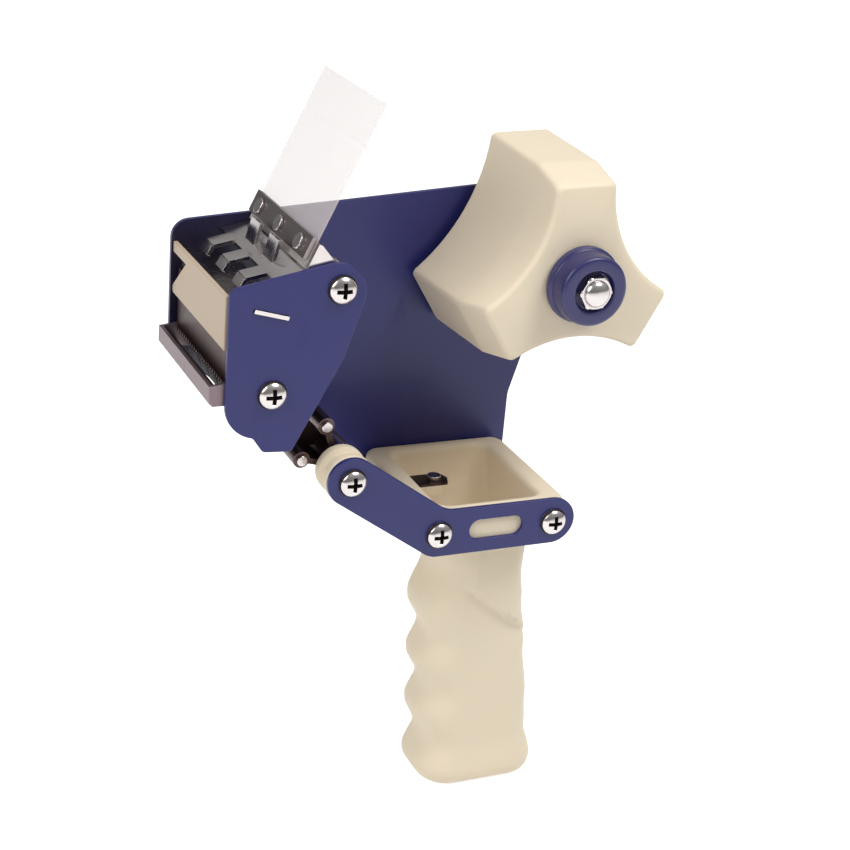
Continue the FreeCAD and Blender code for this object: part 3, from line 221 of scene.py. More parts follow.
def worn_edge_group():
    """Mask along sharp edges, broken up as real wear is."""
    inputs = {"Vector": None, "Radius": 0.0008, "Amount": 0.5, "Scale": 160.0}
    tree, given, out = start_group("Worn edges", inputs, ["Mask"])
    bevel = add(tree, "ShaderNodeBevel", samples=6)
    wire(tree, given["Radius"], bevel.inputs["Radius"])
    surface = add(tree, "ShaderNodeNewGeometry")
    facing = add(tree, "ShaderNodeVectorMath", operation="DOT_PRODUCT")
    wire(tree, bevel.outputs[0], facing.inputs[0])
    wire(tree, surface.outputs["Normal"], facing.inputs[1])
    bend = calculate(tree, "SUBTRACT", 1.0, facing.outputs["Value"])
    edge = spread(tree, bend, 0.02, 0.16)
    noise = add(tree, "ShaderNodeTexNoise", {"Detail": 5.0, "Roughness": 0.7})
    wire(tree, given["Vector"], noise.inputs["Vector"])
    wire(tree, given["Scale"], noise.inputs["Scale"])
    broken = spread(tree, noise.outputs[0], 0.42, 0.62)
    mask = calculate(tree, "MULTIPLY", edge, broken)
    wire(tree, calculate(tree, "MULTIPLY", mask, given["Amount"]), out["Mask"])
    return tree


def hairline_group():
    """Thin straight scratches in two directions."""
    inputs = {"Vector": None, "Scale": 60.0, "Amount": 0.5}
    tree, given, out = start_group("Hairlines", inputs, ["Mask"])
    lines = []
    for turn, stretch in ((0.5, 26.0), (-0.9, 34.0)):
        mapping = add(tree, "ShaderNodeMapping", {"Rotation": (turn, turn * 0.7, turn * 0.4),
                                                  "Scale": (1.0, stretch, 1.0)})
        noise = add(tree, "ShaderNodeTexNoise", {"Detail": 2.0})
        wire(tree, given["Vector"], mapping.inputs["Vector"])
        wire(tree, mapping.outputs[0], noise.inputs["Vector"])
        wire(tree, given["Scale"], noise.inputs["Scale"])
        lines.append(spread(tree, noise.outputs[0], 0.66, 0.72))
    both = calculate(tree, "MAXIMUM", lines[0], lines[1])
    wire(tree, calculate(tree, "MULTIPLY", both, given["Amount"]), out["Mask"])
    return tree


def dust_group():
    """Mask of thin dust on what faces up."""
    inputs = {"Vector": None, "Amount": 0.3, "Scale": 90.0}
    tree, given, out = start_group("Settled dust", inputs, ["Mask"])
    surface = add(tree, "ShaderNodeNewGeometry")
    split = add(tree, "ShaderNodeSeparateXYZ")
    wire(tree, surface.outputs["Normal"], split.inputs[0])
    upward = spread(tree, split.outputs["Z"], 0.55, 1.0)
    noise = add(tree, "ShaderNodeTexNoise", {"Detail": 6.0, "Roughness": 0.7})
    wire(tree, given["Vector"], noise.inputs["Vector"])
    wire(tree, given["Scale"], noise.inputs["Scale"])
    patchy = spread(tree, noise.outputs[0], 0.38, 0.7)
    mask = calculate(tree, "MULTIPLY", upward, patchy)
    wire(tree, calculate(tree, "MULTIPLY", mask, given["Amount"]), out["Mask"])
    return tree


def painted_head_shade_group():
    """Mask of painted shade on the plate's inner face inside the head, broken up unevenly; it stands
    in for the shade of the near plate and the flap.
    """
    inputs = {"Vector": None, "Amount": 0.92}
    # Painted shade: this mask darkens the inner face of the plate inside the head.
    tree, given, out = start_group("Painted head shade", inputs, ["Mask"])
    split = add(tree, "ShaderNodeSeparateXYZ")
    wire(tree, given["Vector"], split.inputs[0])
    surface = add(tree, "ShaderNodeNewGeometry")
    facing = add(tree, "ShaderNodeSeparateXYZ")
    wire(tree, surface.outputs["Normal"], facing.inputs[0])
    inner = spread(tree, facing.outputs["Y"], -0.5, -0.9)
    near_head = spread(tree, split.outputs["X"], -0.07, -0.09)
    noise = add(tree, "ShaderNodeTexNoise", {"Scale": 60.0, "Detail": 3.0})
    wire(tree, given["Vector"], noise.inputs["Vector"])
    uneven = spread(tree, noise.outputs[0], 0.25, 0.6, 0.75, 1.0)
    mask = calculate(tree, "MULTIPLY", inner, near_head)
    mask = calculate(tree, "MULTIPLY", mask, uneven)
    wire(tree, calculate(tree, "MULTIPLY", mask, given["Amount"]), out["Mask"])
    return tree


GROUP_MAKERS = {"Mottle": mottle_group, "Worn edges": worn_edge_group,
                "Hairlines": hairline_group, "Settled dust": dust_group,
                "Painted head shade": painted_head_shade_group}


def shared(tree, name, vector, **values):
    """Place a shared group in a material, made on first use."""
    group = bpy.data.node_groups.get(name) or GROUP_MAKERS[name]()
    node = add(tree, "ShaderNodeGroup", node_tree=group)
    wire(tree, vector, node.inputs["Vector"])
    for label, value in values.items():
        node.inputs[label.replace("_", " ")].default_value = value
    return node


# ---------------------------------------------------------------- materials

def blend_colour(tree, factor, base, over):
    """Lay a plain colour over another by a mask."""
    mix = add(tree, "ShaderNodeMix", data_type="RGBA")
    wire(tree, factor, mix.inputs[0])
    if isinstance(base, tuple):
        mix.inputs[6].default_value = base
    else:
        wire(tree, base, mix.inputs[6])
    mix.inputs[7].default_value = over
    return mix.outputs[2]


def shade_colour(tree, base, tone):
    """Colour brightened or darkened by a tone about 1."""
    scale = add(tree, "ShaderNodeVectorMath", operation="SCALE")
    scale.inputs[0].default_value = base
    wire(tree, tone, scale.inputs["Scale"])
    return scale.outputs[0]


def surface_material(name, base, rough, constants, mottle=(30.0, 0.12), grain=(900.0, 0.00002),
                     wear=None, hairline=0.0, dust=0.0, stretch=(1.0, 1.0, 1.0)):
    """Principled material whose tone, roughness and relief come from the shared groups."""
    material = bpy.data.materials.new(name)
    material.use_nodes = True
    tree = material.node_tree
    shader = tree.nodes["Principled BSDF"]
    for label, value in constants.items():
        shader.inputs[label].default_value = value
    place = add(tree, "ShaderNodeTexCoord").outputs["Object"]
    mapping = add(tree, "ShaderNodeMapping", {"Scale": stretch})
    wire(tree, place, mapping.inputs["Vector"])
    vector = mapping.outputs[0]
    uneven = shared(tree, "Mottle", vector, Scale=mottle[0], Contrast=mottle[1],
                    Grain_Scale=grain[0])
    paint = shade_colour(tree, base, uneven.outputs["Tone"])
    roughness = calculate(tree, "MULTIPLY", uneven.outputs["Tone"], rough)
    grain_swing = calculate(tree, "MULTIPLY", uneven.outputs["Grain"], rough * 0.3)
    roughness = calculate(tree, "ADD", roughness, grain_swing)
    height = uneven.outputs["Grain"]
    if wear:
        worn = shared(tree, "Worn edges", place, Radius=wear[0], Amount=wear[1])
        paint = blend_colour(tree, worn.outputs[0], paint, (*wear[2], 1.0))
    if hairline:
        lines = shared(tree, "Hairlines", place, Amount=hairline)
        roughness = calculate(tree, "ADD", roughness, lines.outputs[0])
        height = calculate(tree, "SUBTRACT", height, lines.outputs[0])
    if dust:
        settled = shared(tree, "Settled dust", place, Amount=dust)
        paint = blend_colour(tree, settled.outputs[0], paint, (0.62, 0.58, 0.52, 1.0))
        roughness = calculate(tree, "ADD", roughness, settled.outputs[0])
    wire(tree, paint, shader.inputs["Base Color"])
    wire(tree, roughness, shader.inputs["Roughness"])
    bump = add(tree, "ShaderNodeBump", {"Strength": 0.6, "Distance": grain[1]})
    wire(tree, height, bump.inputs["Height"])
    wire(tree, bump.outputs[0], shader.inputs["Normal"])
    return material


def enamel_material(name="blue_enamel"):
    return surface_material(name, finish().enamel, 0.34,
                            {"Coat Weight": 0.12, "Coat Roughness": 0.15,
                             "Specular IOR Level": 0.4},
                            mottle=(22.0, 0.16), grain=(520.0, 0.00004),
                            wear=(0.0006, 0.5, tint(104, 100, 150)), hairline=0.08, dust=0.04)


def frame_plate_material():
    """Enamel of the long plate, with painted shade inside the head."""
    material = enamel_material("frame_plate_enamel_painted_shade")
    tree = material.node_tree
    socket = tree.nodes["Principled BSDF"].inputs["Base Color"]
    paint = socket.links[0].from_socket
    place = add(tree, "ShaderNodeTexCoord").outputs["Object"]
    # Painted shade: the enamel turns near-black purple on the plate's inner face inside the head,
    # standing in for the shade there.
    film = shared(tree, "Painted head shade", place)
    wire(tree, blend_colour(tree, film.outputs[0], paint, (*tint(26, 18, 34), 1.0)), socket)
    return material


def knob_material():
    return surface_material("knob_plastic", finish().knob_blue, 0.3,
                            {"Coat Weight": 0.2, "Coat Roughness": 0.2},
                            mottle=(60.0, 0.1), grain=(700.0, 0.00003),
                            wear=(0.0007, 0.4, tint(120, 122, 176)), dust=0.05)


def ivory_material():
    return surface_material("ivory_plastic", finish().ivory, 0.46,
                            {"Subsurface Weight": 0.12, "Subsurface Radius": (0.004, 0.003, 0.002),
                             "Subsurface Scale": 0.5, "Specular IOR Level": 0.42},
                            mottle=(16.0, 0.05), grain=(640.0, 0.00005), hairline=0.06, dust=0.04,
                            wear=(0.0012, 0.25, tint(250, 240, 220)))


# The apron's base colour is ivory darkened as painted shade.
def apron_material():
    return surface_material("apron_plastic", finish().apron_painted_shade_ivory, 0.4, {},
                            mottle=(24.0, 0.08), grain=(640.0, 0.00004), hairline=0.08, dust=0.05,
                            wear=(0.0006, 0.35, tint(226, 212, 190)))


def nickel_material():
    return surface_material("bright_nickel", finish().nickel, 0.17, {"Metallic": 1.0},
                            mottle=(120.0, 0.2), grain=(1500.0, 0.00001), hairline=0.12)


def zinc_material():
    return surface_material("zinc_plate", finish().zinc, 0.27, {"Metallic": 1.0},
                            mottle=(70.0, 0.2), grain=(420.0, 0.00003), hairline=0.2,
                            stretch=(1.0, 0.12, 1.0))


def guard_material():
    return surface_material("guard_plate", finish().guard_grey, 0.36, {"Metallic": 0.75},
                            mottle=(50.0, 0.25), grain=(420.0, 0.00003), hairline=0.2,
                            stretch=(1.0, 0.12, 1.0), wear=(0.0006, 0.6, tint(190, 176, 176)))


def spring_steel_material():
    return surface_material("spring_steel", finish().spring_steel, 0.3, {"Metallic": 1.0},
                            mottle=(90.0, 0.3), grain=(700.0, 0.00003), hairline=0.15,
                            wear=(0.0006, 0.7, tint(170, 160, 156)))


def blade_material():
    return surface_material("blade_steel", finish().blade_steel, 0.34, {"Metallic": 0.85},
                            mottle=(60.0, 0.25), grain=(500.0, 0.00003), hairline=0.2,
                            wear=(0.0004, 0.8, tint(190, 180, 176)))


# Dark metal for the screws' cross recesses: painted shade, standing in for the shade that falls inside
# the recess.
def recess_painted_shade_material():
    return surface_material("screw_recess_painted_shade", tint(46, 38, 38), 0.5, {"Metallic": 0.6},
                            mottle=(300.0, 0.3), grain=(1200.0, 0.00002))


def rubber_material():
    return surface_material("ground_rubber", finish().rubber, 0.7, {"Specular IOR Level": 0.3},
                            mottle=(80.0, 0.25), grain=(1100.0, 0.0001), dust=0.12)


def fibre_material():
    return surface_material("pressed_fibre", finish().fibre, 0.8, {"Specular IOR Level": 0.25},
                            mottle=(220.0, 0.5), grain=(1400.0, 0.00008))


def film_material():
    """Clear film, a little milky, so that it lightens what is behind it."""
    return surface_material("clear_film", finish().film, 0.07,
                            {"Alpha": 0.33, "IOR": 1.45},
                            mottle=(30.0, 0.03), grain=(160.0, 0.00001), hairline=0.05)


MATERIAL_MAKERS = {
    "enamel": enamel_material, "knob": knob_material, "ivory": ivory_material,
    "apron": apron_material, "nickel": nickel_material, "zinc": zinc_material,
    "spring steel": spring_steel_material, "blade": blade_material, "rubber": rubber_material,
    "fibre": fibre_material, "film": film_material, "recess": recess_painted_shade_material,
    "guard": guard_material, "frame plate": frame_plate_material,
}
made_materials = {}


def material_named(word):
    if word not in made_materials:
        made_materials[word] = MATERIAL_MAKERS[word]()
    return made_materials[word]


# ---------------------------------------------------------------- mesh helpers

def show(name, bm, word, node, smooth=38.0, outward=True):
    """Turn a bmesh into a finished piece that stands for a CAD node and rides on its body."""
    bmesh.ops.remove_doubles(bm, verts=bm.verts, dist=0.000002)
    if outward:
        bmesh.ops.recalc_face_normals(bm, faces=bm.faces)
    mesh = bpy.data.meshes.new(name)
    bm.to_mesh(mesh)
    bm.free()
    piece = bpy.data.objects.new(name, mesh)
    bpy.context.scene.collection.objects.link(piece)
    mesh.materials.append(material_named(word))
    mesh.shade_smooth()
    mesh.set_sharp_from_angle(angle=math.radians(smooth))
    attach(piece, BODY_OF[node])
    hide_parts(node)
    return piece


def dress(node, word):
    """Give a CAD node that is shown as it is a procedural material."""
    target = frame["nodes"][node]
    target.data.materials.clear()
    target.data.materials.append(material_named(word))


def rounded_node(node, word, width, segments=2):
    """Copy of a CAD node with merged faces and rounded edges."""
    bm = bmesh.new()
    bm.from_mesh(frame["nodes"][node].data)
    bmesh.ops.remove_doubles(bm, verts=bm.verts, dist=0.000003)
    bmesh.ops.dissolve_limit(bm, angle_limit=math.radians(0.6), verts=bm.verts, edges=bm.edges)
    piece = show(f"{node}_finished", bm, word, node, outward=False)
    bevel = piece.modifiers.new("rounded edges", "BEVEL")
    bevel.width = width
    bevel.segments = segments
    bevel.limit_method = "ANGLE"
    bevel.angle_limit = math.radians(35)
    bevel.harden_normals = True
    return piece


def rounded_path(corners, closed=True, steps=5):
    """Points of an outline whose corners (a, b, radius) are rounded with true arcs."""
    points = []
    count = len(corners)
    for number, (a, b, radius) in enumerate(corners):
        at = Vector((a, b))
        if radius <= 0 or (not closed and number in (0, count - 1)):
            points.append(at)
            continue
        before = Vector(corners[number - 1][:2])
        after = Vector(corners[(number + 1) % count][:2])
        inward = (before - at).normalized()
        outward = (after - at).normalized()
        half = inward.angle(outward) / 2
        centre = at + (inward + outward).normalized() * (radius / math.sin(half))
        first = at + inward * (radius / math.tan(half)) - centre
        last = at + outward * (radius / math.tan(half)) - centre
        turn = first.angle_signed(last)
        for step in range(steps + 1):
            points.append(centre + first @ Matrix.Rotation(turn * step / steps, 2))
    return [(point.x, point.y) for point in points]


def edges_of(loop):
    """Edges between neighbours of a closed ring of vertices."""
    pairs = zip(loop, loop[1:] + loop[:1])
    return [next(edge for edge in one.link_edges if edge.other_vert(one) == other)
            for one, other in pairs]


def next_ring(bm, loop, ring):
    """Extrude a ring of vertices and put the new one on the given points."""
    made = bmesh.ops.extrude_edge_only(bm, edges=edges_of(loop))["geom"]
    fresh = {item for item in made if isinstance(item, bmesh.types.BMVert)}
    follow = [next(edge.other_vert(vert) for edge in vert.link_edges
                   if edge.other_vert(vert) in fresh) for vert in loop]
    for vert, point in zip(follow, ring):
        vert.co = point
    return follow


def loft(rings, first_cap=True, last_cap=True):
    """Skin over rings with as many points each."""
    bm = bmesh.new()
    loop = bmesh.ops.create_circle(bm, segments=len(rings[0]), radius=0.01)["verts"]
    for vert, point in zip(loop, rings[0]):
        vert.co = point
    ends = [loop]
    for ring in rings[1:]:
        loop = next_ring(bm, loop, ring)
    ends.append(loop)
    for end, wanted in zip(ends, (first_cap, last_cap)):
        if wanted:
            bmesh.ops.contextual_create(bm, geom=edges_of(end))
    return bm


def turned(outline, x=0.0, z=0.0, steps=64):
    """Outline of (radius, y) turned about an axis along Y through x, z."""
    bm = bmesh.new()
    verts = [bm.verts.new((x + radius, y, z)) for radius, y in outline]
    edges = [bm.edges.new(pair) for pair in zip(verts, verts[1:])]
    bmesh.ops.spin(bm, geom=verts + edges, cent=(x, 0, z), axis=(0, 1, 0), dvec=(0, 0, 0),
                   angle=math.tau, steps=steps, use_merge=True)
    return bm


def closed(outline):
    return outline + outline[:1]


def blend(low, high, share):
    return low + (high - low) * share


def ease(share):
    """Smooth step from 0 to 1."""
    share = min(max(share, 0.0), 1.0)
    return share * share * (3 - 2 * share)


def centre_of(node):
    low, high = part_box(node)
    return (low[0] + high[0]) / 2, (low[2] + high[2]) / 2


# ---------------------------------------------------------------- plates

class DISPENSER_OT_plates(bpy.types.Operator):
    """Make the two enamelled plates and the handle's bracket"""
    bl_idname = "dispenser.plates"
    bl_label = "Plates and bracket"

    def execute(self, context):
        for node in ("head_plate", "handle_bracket"):
            rounded_node(node, "enamel", shape().plate_edge, 3)
        rounded_node("side_frame", "frame plate", shape().plate_edge, 3)
        return {"FINISHED"}


# ---------------------------------------------------------------- handle

# The handle's outline from the rim down, in millimetres: height, front, rear, half the width
# and corner radius.
HANDLE_STATIONS = [
    (-86.5, -48.0, 3.6, 27.0, 5.0),
    (-96.0, -33.0, -0.4, 15.2, 10.0),
    (-108.0, -32.6, 0.2, 14.4, 11.0),
    (-119.0, -34.0, 1.6, 14.2, 11.0),
    (-139.0, -33.2, 5.2, 13.8, 11.0),
    (-159.0, -32.2, 7.7, 14.2, 11.0),
    (-172.0, -31.0, 8.6, 14.4, 11.0),
    (-183.5, -32.4, 11.4, 15.4, 11.0),
    (-189.5, -31.4, 11.6, 15.2, 11.0),
]
# Finger grooves: height and how far the front stands out from the plain line.
FINGER_WAVES = [(-104.0, -0.6), (-120.5, 2.6), (-131.0, -1.2), (-141.5, 2.4), (-152.0, -1.4),
                (-162.0, 2.2), (-174.0, -1.0), (-184.0, 0.6)]


# The box's cavity: front, rear, half the width and corner radius, at the top, at the height
# where it starts to narrow, and at its floor.
CAVITY_TOP = (-40.0, -4.4, 21.5, 4.0)
CAVITY_WAIST = (-40.0, -4.4, 20.0, 4.0)
CAVITY_FLOOR = (-29.0, -6.5, 9.0, 3.4)
CAVITY_WAIST_HEIGHT = -84.5
CAVITY_FLOOR_HEIGHT = -104.0
GRIP_TOP = -80.0
GRIP_STEP = 1.25
LEDGE_FRONT, LEDGE_REAR, LEDGE_TOP, LEDGE_THICK = -41.0, -27.0, -79.7, 3.0


def along(table, height):
    """Smoothly interpolated row of a table that runs down from its first height."""
    for upper, lower in zip(table, table[1:]):
        if height >= lower[0]:
            share = ease((upper[0] - height) / (upper[0] - lower[0]))
            return [blend(a, b, share) for a, b in zip(upper[1:], lower[1:])]
    return list(table[-1][1:])


def rounded_rectangle(front, rear, half, radius, height, inset=0.0):
    """Ring of points in a level plane, in metres."""
    front, rear, half = front + inset, rear - inset, half - inset
    radius = max(radius - inset, 0.8)
    corners = [(rear, -half), (rear, half), (front, half), (front, -half)]
    middle = ((front + rear) / 2, 0)
    points = []
    for number, (x, y) in enumerate(corners):
        away = (math.copysign(1, x - middle[0]), math.copysign(1, y))
        centre = (x - away[0] * radius, y - away[1] * radius)
        start = -90 + 90 * number
        for step in range(7):
            angle = math.radians(start + 15 * step)
            points.append((centre[0] + radius * math.cos(angle),
                           centre[1] + radius * math.sin(angle)))
        after = corners[(number + 1) % 4]
        turn = math.radians(start + 90)
        next_away = (math.copysign(1, after[0] - middle[0]), math.copysign(1, after[1]))
        next_centre = (after[0] - next_away[0] * radius, after[1] - next_away[1] * radius)
        begin = points[-1]
        end = (next_centre[0] + radius * math.cos(turn), next_centre[1] + radius * math.sin(turn))
        for step in range(1, 24):
            points.append((blend(begin[0], end[0], step / 24), blend(begin[1], end[1], step / 24)))
    return [Vector((x * MM, y * MM, height * MM)) for x, y in points]


def thumb_rest(x, height):
    """How far the thumb rest or the hollow under it stands out, as a share."""
    line = -109.5 - (x + 24.0) * 0.84
    raised = ease((height - line) / 1.8 + 0.5) * ease((-92.0 - height) / 5.0)
    hollow = ease((line - height) / 1.8 + 0.5) * math.exp(-max(line - height, 0.0) / 9.0)
    behind = ease((x + 26.0) / 5.0)
    return behind * (raised - 0.75 * hollow)


def grip_ring(height, inset=0.0):
    front, rear, half, radius = along(HANDLE_STATIONS, height)
    ring = rounded_rectangle(front, rear, half, radius, height, inset)
    wave = along(FINGER_WAVES, height)[0] if height < -104.0 else ease((-96.0 - height) / 8.0) * -0.6
    middle = (front + rear) / 2
    for point in ring:
        x = point.x / MM
        forward = ease((middle - x) / (middle - front) * 1.25 - 0.15)
        point.x -= wave * forward * MM
        point.y += thumb_rest(x, height) * shape().thumb_depth * point.y / MM / half
    return ring


def handle_mesh():
    low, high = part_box("handle")
    top, base = high[2] / MM, low[2] / MM
    rim = shape().rim_round / MM
    foot = shape().base_round / MM
    outer = HANDLE_STATIONS[0][1:]
    rings = [rounded_rectangle(*CAVITY_FLOOR, CAVITY_FLOOR_HEIGHT + lift, inset)
             for lift, inset in ((0.0, 2.2), (0.0, 0.8), (0.6, 0.2))]
    for share in (0.0, 0.12, 0.3, 0.5, 0.7, 0.88, 1.0):
        height = blend(CAVITY_FLOOR_HEIGHT + 1.6, CAVITY_WAIST_HEIGHT, share)
        side = [blend(a, b, share) for a, b in zip(CAVITY_FLOOR, CAVITY_WAIST)]
        rings.append(rounded_rectangle(*side, height))
    rings.append(rounded_rectangle(*CAVITY_TOP, top - rim - 1.0))
    for step in range(6):
        angle = math.radians(18 * step)
        rings.append(rounded_rectangle(*CAVITY_TOP, top - rim + rim * math.sin(angle),
                                       -rim * (1 - math.cos(angle))))
    for step in range(6):
        angle = math.radians(90 - 18 * step)
        rings.append(rounded_rectangle(*outer, top - rim + rim * math.sin(angle),
                                       rim * (1 - math.cos(angle))))
    height = GRIP_TOP
    while height > base + foot:
        rings.append(grip_ring(height))
        height -= GRIP_STEP
    for step in range(6):
        angle = math.radians(18 * step)
        rings.append(grip_ring(base + foot - foot * math.sin(angle), foot * (1 - math.cos(angle))))
    rings.append(grip_ring(base, foot * 2))
    return loft(rings)


def add_ledge(bm):
    """Ledge on the box's front wall that carries the leaf spring."""
    low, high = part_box("leaf_spring")
    margin = 0.5 * MM
    size = ((LEDGE_REAR - LEDGE_FRONT) * MM, high[1] - low[1] + margin * 2, LEDGE_THICK * MM)
    centre = ((LEDGE_FRONT + LEDGE_REAR) / 2 * MM, (low[1] + high[1]) / 2,
              (LEDGE_TOP - LEDGE_THICK / 2) * MM)
    made = bmesh.ops.create_cube(bm, size=1.0)["verts"]
    bmesh.ops.scale(bm, vec=size, verts=made)
    bmesh.ops.translate(bm, vec=centre, verts=made)


class DISPENSER_OT_handle(bpy.types.Operator):
    """Make the moulded handle with its open box, finger grooves and thumb rest"""
    bl_idname = "dispenser.handle"
    bl_label = "Handle"

    def execute(self, context):
        bm = handle_mesh()
        add_ledge(bm)
        show("moulded_handle", bm, "ivory", "handle", smooth=50)
        return {"FINISHED"}


# ---------------------------------------------------------------- hub and brake

def star_ring(y, radius, tip_half, scoop, inset, corner):
    """Three-armed ring of points about the hub's axis, in metres."""
    radius, tip_half, scoop = radius - inset, tip_half - inset, scoop + inset
    reach = math.sqrt(radius ** 2 - tip_half ** 2)
    corners = []
    turn = math.radians(2.0)
    for arm in range(3):
        angle = turn + math.radians(90 + 120 * arm)
        after = angle + math.radians(120)
        tip = [Vector((reach * math.cos(angle) - side * tip_half * math.sin(angle),
                       reach * math.sin(angle) + side * tip_half * math.cos(angle)))
               for side in (-1, 1)]
        far = Vector((reach * math.cos(after) + tip_half * math.sin(after),
                      reach * math.sin(after) - tip_half * math.cos(after)))
        corners += [(*tip[0], corner), (*tip[1], corner)]
        middle = (tip[1] + far) / 2
        half = (far - tip[1]).length / 2
        centre = middle + middle.normalized() * math.sqrt(scoop ** 2 - half ** 2)
        first = tip[1] - centre
        sweep = first.angle_signed(far - centre)
        for step in range(1, 18):
            point = centre + first @ Matrix.Rotation(sweep * step / 18, 2)
            corners.append((*point, 0.0))
    return [Vector((x * MM, y * MM, z * MM)) for x, z in rounded_path(corners, steps=4)]


def round_ring(like, radius, y):
    """Round ring with its points in the same directions as another's."""
    points = []
    for point in like:
        out = Vector((point.x, 0, point.z)).normalized() * (radius * MM)
        points.append(Vector((out.x, y * MM, out.z)))
    return points


# Arm tip's radius, half its width and the scoop's radius, in millimetres.
HUB_BACK = (37.8, 10.6, 66.0)
HUB_NOSE = (36.6, 10.6, 53.5)
HUB_FRONT = (33.0, 10.6, 41.0)
HUB_NOSE_LENGTH = 14.0
HUB_BORE = 5.05
HUB_BOSS = 8.5


def hub_mesh():
    low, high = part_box("tape_hub")
    front, back = low[1] / MM, high[1] / MM
    nose = front + HUB_NOSE_LENGTH
    soft = shape().hub_round / MM
    wall = shape().hub_wall / MM
    sections = {back: HUB_BACK, nose: HUB_NOSE, front: HUB_FRONT}
    corner = 2.0

    def at(y, inset=0.0, rounding=corner):
        near, far = (front, nose) if y <= nose else (nose, back)
        share = (y - near) / (far - near)
        size = [blend(a, b, share) for a, b in zip(sections[near], sections[far])]
        return star_ring(y, *size, inset, rounding)

    rings = []
    for step in range(5):
        angle = math.radians(22.5 * step)
        rings.append(at(back - soft * 0.4 * (1 - math.sin(angle)), soft * 0.4 * (1 - math.cos(angle))))
    rings = rings[::-1]
    outer = [at(blend(back - soft, nose + 1.2, share / 6)) for share in range(7)]
    outer += [at(nose)]
    outer += [at(blend(nose - 1.2, front + soft, share / 5)) for share in range(6)]
    rim = []
    for step in range(1, 6):
        angle = math.radians(18 * step)
        rim.append(at(front + soft * (1 - math.sin(angle)), soft * (1 - math.cos(angle))))
    bore, boss = HUB_BORE, HUB_BOSS
    face = rim[-1]
    waist = min(math.hypot(point.x, point.z) for point in face) / MM
    middle = [round_ring(face, waist * 0.85, front), round_ring(face, bore + 0.4, front),
              round_ring(face, bore, front + 0.4),
              round_ring(face, bore, back), round_ring(face, boss, back),
              round_ring(face, boss, front + wall)]
    inner_rounding = 0.8
    inside = [at(front + wall, wall, inner_rounding), at(nose, wall, inner_rounding),
              at(back, wall, inner_rounding)]
    return loft(rings + outer + rim + middle + inside + rings[:1], False, False)


def knob_outline():
    low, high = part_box("brake_knob")
    front, back = low[1], high[1]
    stud = 3.05 * MM
    corners = [
        (8.5 * MM, back, 0.3 * MM), (8.5 * MM, back - 5.3 * MM, 0.2 * MM),
        (stud, back - 5.3 * MM, 0.0), (stud, front + 2.2 * MM, 0.0),
        (6.4 * MM, front + 2.2 * MM, 0.5 * MM), (6.8 * MM, front, 0.7 * MM),
        (11.3 * MM, front, 1.4 * MM), (11.5 * MM, back - 2.6 * MM, 0.9 * MM),
        (12.4 * MM, back - 2.3 * MM, 0.5 * MM), (12.4 * MM, back, 0.5 * MM),
    ]
    return closed(rounded_path(corners, steps=5))


def nut_mesh():
    """Dome nut: hexagon with turned-off corners under a round dome."""
    low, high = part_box("hub_nut")
    front, back = low[1] / MM, high[1] / MM
    half, count = 5.0, 96
    hexagon = 3.2

    def ring(y, limit):
        points = []
        for number in range(count):
            angle = math.tau * number / count
            off = (angle + math.pi / 6) % (math.pi / 3) - math.pi / 6
            flat = half / math.cos(math.pi / 6 - abs(off))
            radius = min(flat, limit)
            points.append(Vector((radius * math.cos(angle) * MM, y * MM,
                                  radius * math.sin(angle) * MM)))
        return points

    shoulder = back - hexagon
    rings = [ring(back, 3.05), ring(back, 5.2), ring(back - 0.35, 5.6), ring(back - 0.6, 6.2),
             ring(shoulder + 0.6, 6.2), ring(shoulder + 0.3, 5.6), ring(shoulder, 5.1),
             ring(shoulder - 0.05, 4.6)]
    dome = shoulder - front
    for step in range(9):
        angle = math.radians(10 * step)
        rings.append(ring(front + dome * (1 - math.sin(angle)), 4.3 * math.cos(angle) + 0.02))
    return loft(rings, False, True)


class DISPENSER_OT_hub(bpy.types.Operator):
    """Make the hollow three-armed hub"""
    bl_idname = "dispenser.hub"
    bl_label = "Tape hub"

    def execute(self, context):
        show("moulded_hub", hub_mesh(), "ivory", "tape_hub", smooth=32)
        return {"FINISHED"}


class DISPENSER_OT_brake(bpy.types.Operator):
    """Make the brake knob and its dome nut, and dress the spindle, washers and spring"""
    bl_idname = "dispenser.brake"
    bl_label = "Brake"

    def execute(self, context):
        show("moulded_knob", turned(knob_outline(), steps=96), "knob", "brake_knob")
        show("dome_nut", nut_mesh(), "nickel", "hub_nut", smooth=24)
        for node, word in (("hub_spindle", "zinc"), ("brake_washer", "fibre"),
                           ("thrust_washer", "zinc"), ("hub_spring", "spring steel")):
            dress(node, word)
        return {"FINISHED"}


# ---------------------------------------------------------------- screws and rods

